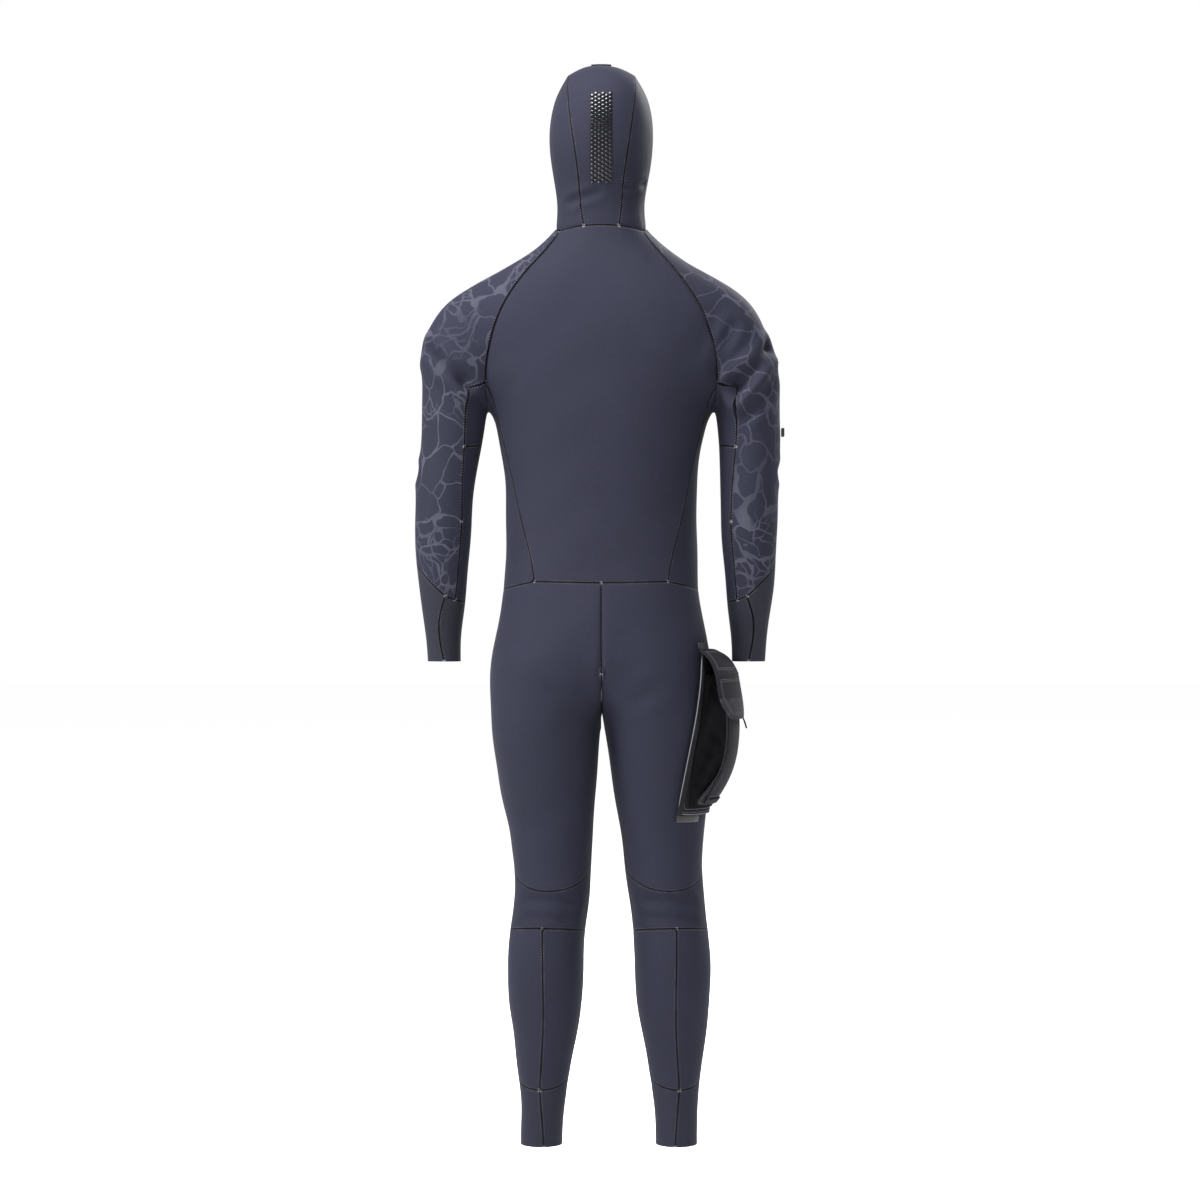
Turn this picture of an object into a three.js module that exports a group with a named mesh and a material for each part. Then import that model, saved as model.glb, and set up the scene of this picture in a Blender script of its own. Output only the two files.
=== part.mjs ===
// A hooded full wetsuit, empty but holding its worn shape, built from its cut panels.
// Millimetres. X points to the wearer's right, Y to the front, Z up; z = 0 is the plane of the ankle ends.
import * as THREE from "three";

// ---------------------------------------------------------------- driving dimensions
const NEOPRENE = 5; // sheet thickness of the panels
const THIN_SHEET = 3; // face seal, pocket and wrist cuff sheet
const SEAM_GAP = 0.7; // clearance between two neighbouring panels at a seam
const CLEARANCE = 0.4; // clearance between stacked pieces
const HEAD_MIDDLE_Z = 1600; // middle of the head above the ankle ends
const CROWN_RISE = 120; // the hood's crown above that
const CROWN_Z = HEAD_MIDDLE_Z + CROWN_RISE;
const LEG_LEAN = 13; // the legs stand this far to the wearer's right of the trunk
const WRIST_Z = 768;
const CUFF_SEAM_Z = 866;
const CUFF_SEAM_RISE = 64; // how far the cuff seam climbs on the outside of the arm
const ELBOW_LOW_Z = 990;
const ELBOW_HIGH_Z = 1108;
const WAIST_Z = 893;
const CROTCH_Z = 697;
const KNEE_HIGH_Z = 444;
const KNEE_LOW_Z = 340;
const KNEE_BACK_DIP = -38; // the seam above the knee back hangs in a U
const KNEE_PAD_RISE = 62; // the knee pad's top edge bows up
const KNEE_PAD_DROP = -26; // and its bottom edge bows down
const ANKLE_SEAM_Z = 112;
const ANKLE_SEAM_DIP = -21;
const ZIP_BOTTOM_Z = 905;
const ZIP_TOP_Z = 1335;
const ZIP_FRONT_Y = 118; // the front of the trunk along the zip
const ZIP_HALF = 12; // half the gap between the chest panels
const TAPE_THICKNESS = 1.6;
const COIL_WIDTH = 3;
const COIL_HEIGHT = 2.6;
const SLIDER_LENGTH = 16;
const PULL_LENGTH = 46;
const UNDERFLAP_WIDTH = 52;
const UNDERFLAP_GAP = 1.5; // behind the chest panels' inner face
const FACE_Z = 1575; // centre of the face opening
const FACE_HALF_WIDTH = 60;
const FACE_HALF_HEIGHT = 80;
const FACE_SEAL_WIDTH = 15;
const VENT_HALF_WIDTH = 16.3;
const VENT_LOW_Z = 1520;
const VENT_HIGH_Z = 1668;
const VENT_THICKNESS = 1.2;
const VENT_GAP = 1; // how far the strip is laid off the hood's faces
const POCKET_TOP_Z = 786;
const POCKET_BOTTOM_Z = 528;
const POCKET_MOUTH_Z = 748;
const FLAP_BOTTOM_Z = 679;
const POCKET_DEPTH = 38; // how far the pocket front stands off the thigh
const FLAP_FOLD_Z = 750; // the flap folds up along this level, over the pocket's mouth
const FLAP_STANDOFF = POCKET_DEPTH + 9;
const ARM_LEAN = POCKET_DEPTH - 46; // the sleeves hang to one side, so that the right cuff clears the pocket
const FLAP_SHEET = 3.2;

const COLOURS = {
  nylon: [0x3a3a4a, 0.78, 0],
  print: [0x41424f, 0.7, 0],
  dark: [0x2d2d38, 0.82, 0],
  smooth: [0x1b1b20, 0.45, 0],
  rubber: [0x101012, 0.4, 0],
  bellows: [0x0d0d10, 0.85, 0],
  webbing: [0x18181c, 0.8, 0],
  tape: [0x15151a, 0.85, 0],
  coil: [0x0c0c0e, 0.35, 0],
  metal: [0x55565c, 0.32, 1],
};

const suit = new THREE.Group();
const V = (x, y, z) => new THREE.Vector3(x, y, z);

function addMesh(name, geometry, look) {
  const [color, roughness, metalness] = COLOURS[look];
  const material = new THREE.MeshStandardMaterial({ color, roughness, metalness });
  const mesh = new THREE.Mesh(geometry, material);
  mesh.name = name;
  suit.add(mesh);
  return mesh;
}

// ---------------------------------------------------------------- the body that fills the suit
// Each row is one level section: z, centre x, half width, back y, front y.
const TRUNK = [
  [690, 0, 40, -42, 34],
  [708, 0, 110, -84, 66],
  [740, 0, 166, -118, 94],
  [786, 0, 170, -127, 110],
  [850, 0, 162, -118, ZIP_FRONT_Y - 2],
  [913, 0, 157, -103, ZIP_FRONT_Y],
  [1000, 0, 154, -97, ZIP_FRONT_Y],
  [1073, 0, 155, -103, ZIP_FRONT_Y],
  [1137, 0, 167, -110, ZIP_FRONT_Y],
  [1200, 0, 182, -114, ZIP_FRONT_Y],
  [1264, 0, 212, -113, ZIP_FRONT_Y],
  [1328, 0, 238, -106, ZIP_FRONT_Y],
  [1360, 0, 214, -98, ZIP_FRONT_Y - 11],
  [1392, 0, 158, -88, ZIP_FRONT_Y - 25],
  [1423, 0, 106, -77, ZIP_FRONT_Y - 39],
  [1455, 0, 74, -68, ZIP_FRONT_Y - 50],
  [1500, 0, 67, -66, ZIP_FRONT_Y - 54],
  [1570, 0, 66, -68, 66],
];
const ARM = [
  [760, 244, 27, 0, 56],
  [800, 244, 28.5, -8, 52],
  [850, 245, 35, -26, 48],
  [913, 245, 42, -43, 44],
  [1000, 244, 47, -58, 37],
  [1073, 240, 48, -60, 46],
  [1137, 235, 52, -63, 54],
  [1200, 230, 53.5, -66, 58],
  [1264, 220, 53, -64, 60],
  [1310, 206, 47, -56, 54],
  [1345, 190, 24, -34, 34],
];
const LEG = [
  [-6, 108, 34, -44, 38],
  [53, 106, 35, -46, 38],
  [116, 105, 42, -52, 42],
  [180, 103, 52, -64, 46],
  [244, 101.5, 61, -78, 49],
  [308, 101.5, 61, -80, 51],
  [371, 94, 60, -68, 56],
  [420, 89, 61.5, -64, 62],
  [499, 89, 66.5, -74, 74],
  [563, 91, 77, -88, 83],
  [626, 91, 84, -104, 90],
  [690, 92, 87, -118, 92],
  [754, 90, 84, -121, 96],
  [810, 84, 76, -110, 96],
];
const HEAD = { y: 12, z: HEAD_MIDDLE_Z, halfWidth: 84, halfDepth: 104, up: CROWN_RISE, down: 96 };

function sectionAt(rows, z) {
  let i = 1;
  while (i < rows.length - 2 && z > rows[i + 1][0]) i++;
  const a = rows[Math.max(i - 1, 0)];
  const b = rows[i];
  const c = rows[i + 1];
  const d = rows[Math.min(i + 2, rows.length - 1)];
  if (z < b[0]) return straight(a, b, z);
  const span = c[0] - b[0];
  const t = Math.min((z - b[0]) / span, 1.2);
  return b.map((value, k) => {
    const slopeB = ((c[k] - a[k]) / (c[0] - a[0])) * span;
    const slopeC = d === c ? (c[k] - b[k]) : ((d[k] - b[k]) / (d[0] - b[0])) * span;
    const t2 = t * t;
    const t3 = t2 * t;
    const start = value * (2 * t3 - 3 * t2 + 1) + slopeB * (t3 - 2 * t2 + t);
    return start + c[k] * (3 * t2 - 2 * t3) + slopeC * (t3 - t2);
  });
}

function straight(a, b, z) {
  const t = (z - a[0]) / (b[0] - a[0]);
  return a.map((value, k) => value + (b[k] - value) * t);
}

function limbValue(rows, p, power) {
  const z = Math.min(Math.max(p.z, rows[0][0]), rows[rows.length - 1][0]);
  const [, x, half, back, front] = sectionAt(rows, z);
  const depth = (front - back) / 2;
  const across = Math.abs((p.x - x) / half);
  const along = Math.abs((p.y - (front + back) / 2) / depth);
  const round = (across ** power + along ** power) ** (1 / power);
  const level = (round - 1) * Math.min(half, depth);
  const beyond = Math.abs(p.z - z);
  return beyond > 0 ? Math.hypot(Math.max(level, 0), beyond) : level;
}

function headValue(p) {
  const high = p.z > HEAD.z ? HEAD.up : HEAD.down;
  const terms = [p.x / HEAD.halfWidth, (p.y - HEAD.y) / HEAD.halfDepth, (p.z - HEAD.z) / high];
  const power = 2.5;
  const round = terms.reduce((sum, t) => sum + Math.abs(t) ** power, 0) ** (1 / power);
  return (round - 1) * HEAD.halfWidth;
}

function softMin(a, b, k) {
  const h = Math.max(k - Math.abs(a - b), 0) / k;
  return Math.min(a, b) - (h * h * k) / 4;
}

function ramp(z, low, high) {
  const t = Math.min(Math.max((z - low) / (high - low), 0), 1);
  return t * t * (3 - 2 * t);
}

// Signed distance-like value: negative inside the body.
function body(p) {
  const q = V(Math.abs(p.x), p.y, p.z);
  const trunk = limbValue(TRUNK, q, 2.3);
  const arm = limbValue(ARM, q, 2);
  const leg = limbValue(LEG, q, 2.1);
  const head = headValue(q);
  let value = softMin(trunk, leg, 22);
  value = softMin(value, arm, 1 + 34 * ramp(p.z, 1140, 1215));
  return softMin(value, head, 24);
}

function bodyNormal(p) {
  const e = 0.4;
  const n = V(
    body(V(p.x + e, p.y, p.z)) - body(V(p.x - e, p.y, p.z)),
    body(V(p.x, p.y + e, p.z)) - body(V(p.x, p.y - e, p.z)),
    body(V(p.x, p.y, p.z + e)) - body(V(p.x, p.y, p.z - e)),
  );
  return n.normalize();
}

// Moves a point near the body's surface on to it.
function ontoBody(start) {
  const p = start.clone();
  for (let i = 0; i < 30; i++) {
    const value = body(p);
    if (Math.abs(value) < 1e-5) break;
    const n = bodyNormal(p);
    const ahead = body(p.clone().addScaledVector(n, 0.5));
    const slope = Math.max((ahead - value) / 0.5, 0.25);
    p.addScaledVector(n, Math.max(Math.min(-value / slope, 12), -12));
  }
  return p;
}

// The first crossing of the body's surface along a ray that starts inside it.
function castFrom(centre, direction) {
  const at = (t) => centre.clone().addScaledVector(direction, t);
  let low = 0;
  let high = 3;
  while (body(at(high)) < 0 && high < 400) {
    low = high;
    high += 3;
  }
  for (let i = 0; i < 34; i++) {
    const middle = (low + high) / 2;
    if (body(at(middle)) < 0) low = middle;
    else high = middle;
  }
  return at(low);
}

const onBack = (x, z) => castFrom(V(x, backStart(x, z), z), V(0, -1, 0));
const onFront = (x, z) => castFrom(V(x, backStart(x, z), z), V(0, 1, 0));

// A y inside the body for the given x and z.
function backStart(x, z) {
  let best = 0;
  let least = Infinity;
  for (let y = -90; y <= 100; y += 5) {
    const value = body(V(x, y, z));
    if (value < least) {
      least = value;
      best = y;
    }
  }
  return best;
}

// ---------------------------------------------------------------- seams
// A seam is a row of points on the body, shared by the panels on both sides of it.
function seam(points, count) {
  const curve = new THREE.CatmullRomCurve3(points, false, "centripetal");
  const inside = curve.getSpacedPoints(count).slice(1, -1).map(ontoBody);
  return [points[0], ...inside, points[points.length - 1]];
}

const joined = (first, ...rest) => rest.reduce((all, row) => all.concat(row.slice(1)), [...first]);
const reversed = (row) => [...row].reverse();
const mirrored = (row) => row.map((p) => V(-p.x, p.y, p.z));

function frameFor(axis, outward) {
  const t = axis.clone().normalize();
  const n = outward.clone().addScaledVector(t, -outward.dot(t)).normalize();
  return { t, n, b: new THREE.Vector3().crossVectors(t, n) };
}

function toAngles(p, centre, frame) {
  const d = p.clone().sub(centre).normalize();
  return [Math.atan2(d.dot(frame.b), d.dot(frame.n)), Math.asin(d.dot(frame.t))];
}

function fromAngles([turn, lift], centre, frame) {
  const d = frame.n.clone().multiplyScalar(Math.cos(turn) * Math.cos(lift));
  d.addScaledVector(frame.b, Math.sin(turn) * Math.cos(lift)).addScaledVector(frame.t, Math.sin(lift));
  return castFrom(centre, d);
}

// The same with the distance, for points that are then moved on to the surface nearby.
function toAround(p, centre, frame) {
  return [...toAngles(p, centre, frame), p.distanceTo(centre)];
}

function near([turn, lift, distance], centre, frame) {
  const d = frame.n.clone().multiplyScalar(Math.cos(turn) * Math.cos(lift));
  d.addScaledVector(frame.b, Math.sin(turn) * Math.cos(lift)).addScaledVector(frame.t, Math.sin(lift));
  return ontoBody(centre.clone().addScaledVector(d, distance));
}

const UP = V(0, 0, 1);

// A seam that runs across a limb from one side seam to another, around the given side of the limb.
function crossSeam(from, to, centre, outward, count, bow = 0, power = 1) {
  const frame = frameFor(UP, outward);
  const [turnA] = toAngles(from, centre, frame);
  const [turnB] = toAngles(to, centre, frame);
  const row = [from];
  for (let j = 1; j < count; j++) {
    const t = j / count;
    const z = from.z + (to.z - from.z) * t + bow * Math.sin(Math.PI * t) ** power;
    row.push(fromAngles([turnA + (turnB - turnA) * t, 0], V(centre.x, centre.y, z), frame));
  }
  return [...row, to];
}

// A grid of points between four seams. left and right run from the bottom row to the top row.
function gridBetween({ left, right, bottom, top, spine, outward }) {
  const rows = left.length - 1;
  const across = bottom.length - 1;
  const stations = left.map((_, i) => {
    const { centre, axis, facing } = spine(i / rows, left[i], right[i]);
    return { centre, frame: frameFor(axis || UP, facing || outward) };
  });
  const angles = (p, i) => toAround(p, stations[i].centre, stations[i].frame);
  const straightRow = (i, t) => {
    const a = angles(left[i], i);
    const b = angles(right[i], i);
    return a.map((value, k) => value + (b[k] - value) * t);
  };
  const bend = (row, i) => row.map((p, j) => {
    const plain = straightRow(i, j / across);
    return angles(p, i).map((value, k) => value - plain[k]);
  });
  const low = bend(bottom, 0);
  const high = bend(top, rows);
  const grid = left.map((_, i) => {
    if (i === 0) return bottom;
    if (i === rows) return top;
    const u = i / rows;
    const line = [];
    for (let j = 0; j <= across; j++) {
      const mixed = straightRow(i, j / across).map((value, k) => value + low[j][k] * (1 - u) + high[j][k] * u);
      line.push(near(mixed, stations[i].centre, stations[i].frame));
    }
    return [left[i], ...line.slice(1, -1), right[i]];
  });
  return evened(grid, 4);
}

// Evens out the inside points of a grid along the body's surface.
function evened(grid, rounds) {
  let now = grid;
  for (let round = 0; round < rounds; round++) {
    const before = now;
    now = before.map((row, i) => row.map((p, j) => {
      if (i === 0 || j === 0 || i === before.length - 1 || j === row.length - 1) return p;
      const mean = before[i - 1][j].clone().add(before[i + 1][j]).add(row[j - 1]).add(row[j + 1]);
      return ontoBody(mean.multiplyScalar(0.25).lerp(p, 0.4));
    }));
  }
  return now;
}

// ---------------------------------------------------------------- solids from grids
// A closed sheet between an outer and an inner grid of points, both [row][column].
function sheetGeometry(outer, inner) {
  const rows = outer.length;
  const cols = outer[0].length;
  const points = [...outer.flat(), ...inner.flat()];
  const at = (layer, i, j) => layer * rows * cols + i * cols + j;
  const faces = [];
  const quad = (a, b, c, d) => faces.push(a, b, c, a, c, d);
  for (let i = 0; i < rows - 1; i++) {
    for (let j = 0; j < cols - 1; j++) {
      const corners = [[i, j], [i, j + 1], [i + 1, j + 1], [i + 1, j]];
      const [a, b, c, d] = corners.map(([k, l]) => [at(0, k, l), at(1, k, l)]);
      // Both faces are cut along the shorter diagonal of the outer one.
      const turned = points[a[0]].distanceTo(points[c[0]]) > points[b[0]].distanceTo(points[d[0]]);
      if (turned) {
        quad(b[0], c[0], d[0], a[0]);
        quad(b[1], a[1], d[1], c[1]);
      } else {
        quad(a[0], b[0], c[0], d[0]);
        quad(a[1], d[1], c[1], b[1]);
      }
    }
  }
  // Rim walls take their shorter diagonal too, so that two neighbours' walls twist alike.
  const wall = (a, b, c, d) => {
    if (points[a].distanceTo(points[c]) > points[b].distanceTo(points[d])) quad(b, c, d, a);
    else quad(a, b, c, d);
  };
  for (let j = 0; j < cols - 1; j++) {
    wall(at(0, 0, j), at(1, 0, j), at(1, 0, j + 1), at(0, 0, j + 1));
    wall(at(0, rows - 1, j + 1), at(1, rows - 1, j + 1), at(1, rows - 1, j), at(0, rows - 1, j));
  }
  for (let i = 0; i < rows - 1; i++) {
    wall(at(0, i + 1, 0), at(1, i + 1, 0), at(1, i, 0), at(0, i, 0));
    wall(at(0, i, cols - 1), at(1, i, cols - 1), at(1, i + 1, cols - 1), at(0, i + 1, cols - 1));
  }
  const geometry = new THREE.BufferGeometry();
  const flat = new Float32Array(points.flatMap((p) => [p.x, p.y, p.z]));
  geometry.setAttribute("position", new THREE.BufferAttribute(flat, 3));
  geometry.setIndex(faces);
  return facingOut(geometry);
}

function facingOut(geometry) {
  const p = geometry.getAttribute("position");
  const index = geometry.getIndex().array;
  const [a, b, c] = [V(0, 0, 0), V(0, 0, 0), V(0, 0, 0)];
  let volume = 0;
  for (let i = 0; i < index.length; i += 3) {
    a.fromBufferAttribute(p, index[i]);
    b.fromBufferAttribute(p, index[i + 1]);
    c.fromBufferAttribute(p, index[i + 2]);
    volume += a.dot(b.cross(c));
  }
  if (volume < 0) {
    for (let i = 0; i < index.length; i += 3) [index[i + 1], index[i + 2]] = [index[i + 2], index[i + 1]];
  }
  geometry.computeVertexNormals();
  return geometry;
}

// Draws the rim of a grid in by the given distance, so that neighbours keep their seam gap.
function drawnIn(grid, distance) {
  const rows = grid.length;
  const cols = grid[0].length;
  const result = grid.map((row) => row.map((p) => p.clone()));
  const at = (i, j) => grid[Math.min(Math.max(i, 0), rows - 1)][Math.min(Math.max(j, 0), cols - 1)];
  const pull = (i, j, di, dj) => {
    const [si, sj] = [Math.abs(dj), Math.abs(di)];
    const along = at(i + si, j + sj).clone().sub(at(i - si, j - sj)).normalize();
    const d = at(i + di, j + dj).clone().sub(grid[i][j]);
    d.addScaledVector(along, -d.dot(along)).normalize();
    result[i][j].addScaledVector(d, distance);
  };
  for (let i = 0; i < rows; i++) {
    pull(i, 0, 0, 1);
    pull(i, cols - 1, 0, -1);
  }
  for (let j = 0; j < cols; j++) {
    pull(0, j, 1, 0);
    pull(rows - 1, j, -1, 0);
  }
  return result;
}

const legLean = (p) => V(p.x + LEG_LEAN * (1 - ramp(p.z, 330, 770)), p.y, p.z);
const armLean = (p) => V(p.x + ARM_LEAN * (1 - ramp(p.z, 1000, 1160)), p.y, p.z);
const noLean = (p) => p.clone();

// One cut panel of sheet. Its outer face lies on the body and its inner face one thickness inside.
// A panel whose bottom row ends in an opening is cut off level there, at endZ.
function addPanel(name, grid, look, lean = noLean, thickness = NEOPRENE, endZ = null) {
  const drawn = drawnIn(grid, SEAM_GAP / 2);
  const normals = drawn.map((row) => row.map(bodyNormal));
  const inner = drawn.map((row, i) => row.map((p, j) => p.clone().addScaledVector(normals[i][j], -thickness)));
  if (endZ !== null) [...drawn[0], ...inner[0]].forEach((p) => p.setZ(endZ));
  addMesh(name, sheetGeometry(drawn.map((r) => r.map(lean)), inner.map((r) => r.map(lean))), look);
}

function addPair(name, grid, look, lean = noLean, thickness = NEOPRENE, endZ = null) {
  addPanel(name + "_right", grid, look, lean, thickness, endZ);
  addPanel(name + "_left", grid.map(mirrored), look, lean, thickness, endZ);
}

const axisAt = (rows, z) => {
  const [, x, , back, front] = sectionAt(rows, z);
  return V(x, (back + front) / 2, z);
};
const upright = (rows) => (_, l, r) => ({ centre: axisAt(rows, (l.z + r.z) / 2) });
// The same for a wrap whose two edges meet at a closing seam: the centre lies straight across from the seam.
const across = (rows) => (_, l, r) => {
  const centre = axisAt(rows, (l.z + r.z) / 2);
  return { centre: V((l.x + r.x) / 2, centre.y, centre.z) };
};

// ---------------------------------------------------------------- the main seams, wearer's right side
// Corner points where several seams meet.
const neckBack = onBack(66, 1450);
const neckFront = onFront(64, 1444);
const armpitBack = onBack(184, 1211);
const armpitFront = onFront(182, 1211);
const armpitTop = ontoBody(V(178, 0, 1164));

const raglanBack = seam([armpitBack, onBack(182, 1243), onBack(174, 1281), onBack(152, 1338),
  onBack(100, 1407), neckBack], 7);
const raglanFront = seam([armpitFront, onFront(178, 1243), onFront(168, 1281), onFront(144, 1338),
  onFront(96, 1400), neckFront], 7);
const underarmBack = seam([armpitTop, ontoBody(V(180, -34, 1176)), armpitBack], 2);
const underarmFront = seam([armpitTop, ontoBody(V(180, 34, 1176)), armpitFront], 2);

const armCentre = (z) => axisAt(ARM, z);
const armPoint = (x, z, side) => castFrom(V(x, armCentre(z).y, z), V(0, side, 0));
const sleeveSeam = (corner, side) => {
  const at = (x, z) => armPoint(x, z, side);
  const high = [corner, at(203, 1209), at(213, 1180), at(214, ELBOW_HIGH_Z)];
  const middle = [at(214, ELBOW_HIGH_Z), at(213, 1050), at(213, ELBOW_LOW_Z)];
  const low = [at(213, ELBOW_LOW_Z), at(217, 930), at(224, CUFF_SEAM_Z)];
  return { high: reversed(seam(high, 4)), middle: reversed(seam(middle, 3)), low: reversed(seam(low, 4)) };
};
const sleeveBack = sleeveSeam(armpitBack, -1);
const sleeveFront = sleeveSeam(armpitFront, 1);

const sideBack = reversed(seam([armpitBack, onBack(166, 1167), onBack(151, 1105), onBack(138, 1045),
  onBack(123, 977), onBack(110, 929), onBack(105, WAIST_Z + 2)], 9));
const sideFront = reversed(seam([armpitFront, onFront(160, 1160), onFront(148, 1095), onFront(136, 1030),
  onFront(124, 970), onFront(118, WAIST_Z - 4)], 9));
const zipEdge = seam([onFront(ZIP_HALF, WAIST_Z), onFront(ZIP_HALF, ZIP_BOTTOM_Z + 20),
  onFront(ZIP_HALF, 1200), onFront(ZIP_HALF, ZIP_TOP_Z + 1)], 9);

// ---------------------------------------------------------------- trunk panels
const ACROSS_BACK = 10;
const trunkAxis = V(0, 0, 0);
const waistBack = crossSeam(mirrored([sideBack[0]])[0], sideBack[0], trunkAxis, V(0, -1, 0), ACROSS_BACK, -2);
const neckLineBack = crossSeam(V(-neckBack.x, neckBack.y, neckBack.z), neckBack, trunkAxis, V(0, -1, 0),
  ACROSS_BACK, 7);
const backRail = joined(sideBack, raglanBack);
addPanel("back_panel", gridBetween({
  left: mirrored(backRail), right: backRail, bottom: waistBack, top: neckLineBack,
  spine: upright(TRUNK), outward: V(0, -1, 0),
}), "nylon");

const waistSide = crossSeam(sideBack[0], sideFront[0], trunkAxis, V(1, 0, 0), 4, -10);
addPair("side_panel", gridBetween({
  left: sideBack, right: sideFront, bottom: waistSide, top: joined(reversed(underarmBack), underarmFront),
  spine: upright(TRUNK), outward: V(1, 0, 0),
}), "nylon");

const ACROSS_CHEST = 4;
const waistChest = crossSeam(sideFront[0], zipEdge[0], trunkAxis, V(0, 1, 0), ACROSS_CHEST, 0);
const zipTop = zipEdge[zipEdge.length - 1];
const chestTop = seam([neckFront, onFront(48, 1408), onFront(28, 1370), zipTop], ACROSS_CHEST);
const chestRail = joined(sideFront, raglanFront);
const zipRail = seam([zipEdge[0], zipEdge[3], zipEdge[6], zipEdge[9]], chestRail.length - 1);
addPair("chest_panel", gridBetween({
  left: chestRail, right: zipRail, bottom: waistChest, top: chestTop,
  spine: upright(TRUNK), outward: V(0.5, 1, 0),
}), "nylon");

// ---------------------------------------------------------------- sleeves
const ACROSS_SLEEVE = 10;
const ACROSS_INNER = 4;
const OUTWARD = V(1, 0, 0);
const INWARD = V(-1, 0, 0);

const sleeveSpine = new THREE.CatmullRomCurve3([armCentre(ELBOW_HIGH_Z), armCentre(1180), V(222, -2, 1236),
  V(196, 0, 1288), V(150, 0, 1338), V(98, 0, 1384), V(50, 0, 1424)]);
const sleeveRailBack = joined(sleeveBack.high, raglanBack);
const sleeveRailFront = joined(sleeveFront.high, raglanFront);
const followSleeve = (u) => ({ centre: sleeveSpine.getPointAt(u), axis: sleeveSpine.getTangentAt(u) });

// The neck end of the sleeve crosses over the shoulder from the back corner to the front corner.
const neckSide = (() => {
  const { centre, axis } = followSleeve(1);
  const frame = frameFor(axis, OUTWARD);
  const a = toAngles(neckBack, centre, frame);
  const b = toAngles(neckFront, centre, frame);
  const inside = [1, 2, 3, 4, 5, 6, 7, 8, 9].map((j) => {
    const t = j / ACROSS_SLEEVE;
    return fromAngles(a.map((value, k) => value + (b[k] - value) * t), centre, frame);
  });
  return [neckBack, ...inside, neckFront];
})();

const armMiddle = (a, b) => armCentre((a.z + b.z) / 2);
const outerRow = (a, b, bow, power) => crossSeam(a, b, armMiddle(a, b), OUTWARD, ACROSS_SLEEVE, bow, power);
const innerRow = (a, b, bow) => crossSeam(a, b, armMiddle(a, b), INWARD, ACROSS_INNER, bow);
const elbowHigh = outerRow(sleeveBack.high[0], sleeveFront.high[0]);
const elbowLow = outerRow(sleeveBack.middle[0], sleeveFront.middle[0]);
const cuffTop = outerRow(sleeveBack.low[0], sleeveFront.low[0], CUFF_SEAM_RISE, 2);
const elbowHighInner = innerRow(sleeveBack.high[0], sleeveFront.high[0], 4);
const elbowLowInner = innerRow(sleeveBack.middle[0], sleeveFront.middle[0], 0);
const cuffTopInner = innerRow(sleeveBack.low[0], sleeveFront.low[0], -4);

addPair("sleeve_upper", gridBetween({
  left: sleeveRailBack, right: sleeveRailFront, bottom: elbowHigh, top: neckSide,
  spine: followSleeve, outward: V(1, 0, 0.2),
}), "print", armLean);
addPair("sleeve_elbow", gridBetween({
  left: sleeveBack.middle, right: sleeveFront.middle, bottom: elbowLow, top: elbowHigh,
  spine: upright(ARM), outward: OUTWARD,
}), "print", armLean);
addPair("sleeve_lower", gridBetween({
  left: sleeveBack.low, right: sleeveFront.low, bottom: cuffTop, top: elbowLow,
  spine: upright(ARM), outward: OUTWARD,
}), "print", armLean);

const underarm = joined(reversed(underarmBack), underarmFront);
addPair("inner_sleeve_upper", gridBetween({
  left: sleeveBack.high, right: sleeveFront.high, bottom: elbowHighInner, top: underarm,
  spine: (u, l) => ({ centre: armCentre(Math.min(l.z, 1175)) }), outward: INWARD,
}), "nylon", armLean);
addPair("inner_sleeve_elbow", gridBetween({
  left: sleeveBack.middle, right: sleeveFront.middle, bottom: elbowLowInner, top: elbowHighInner,
  spine: upright(ARM), outward: INWARD,
}), "nylon", armLean);
addPair("inner_sleeve_lower", gridBetween({
  left: sleeveBack.low, right: sleeveFront.low, bottom: cuffTopInner, top: elbowLowInner,
  spine: upright(ARM), outward: INWARD,
}), "nylon", armLean);

// The forearm cuff is one wrap of sheet, closed by a seam down the back of the wrist.
const cuffRing = joined(cuffTop.slice(1), reversed(cuffTopInner), cuffTop.slice(0, 2));
const closing = [cuffTop[1], armPoint(250, 838, -1), armPoint(250, 806, -1), armPoint(243, WRIST_Z, -1)];
const cuffRows = 5;
const cuffRail = reversed(seam(closing, cuffRows));
const nudged = (row, x) => row.map((p) => V(p.x + x, p.y, p.z));
const wristRing = crossSeam(V(243.2, cuffRail[0].y, WRIST_Z), V(242.8, cuffRail[0].y, WRIST_Z),
  V(243, armCentre(WRIST_Z).y, WRIST_Z), V(0, 1, 0), cuffRing.length - 1);
addPair("forearm_cuff", gridBetween({
  left: nudged(cuffRail, 0.2), right: nudged(cuffRail, -0.2),
  bottom: wristRing,
  top: [nudged([cuffRing[0]], 0.2)[0], ...cuffRing.slice(1, -1), nudged([cuffRing[0]], -0.2)[0]],
  spine: across(ARM), outward: V(0, 1, 0),
}), "dark", armLean, THIN_SHEET, WRIST_Z);

// ---------------------------------------------------------------- legs
const legCentre = (z) => axisAt(LEG, z);
const legPoint = (turn, z) => {
  const c = legCentre(z);
  return castFrom(V(c.x, c.y, z), V(Math.sin(turn), -Math.cos(turn), 0));
};
const OUTER_TURN = 1.75; // the outer leg seam lies a little forward of the side
const INNER_TURN = -1.5;
const crotch = ontoBody(V(0.01, 0, CROTCH_Z - 6));

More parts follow.
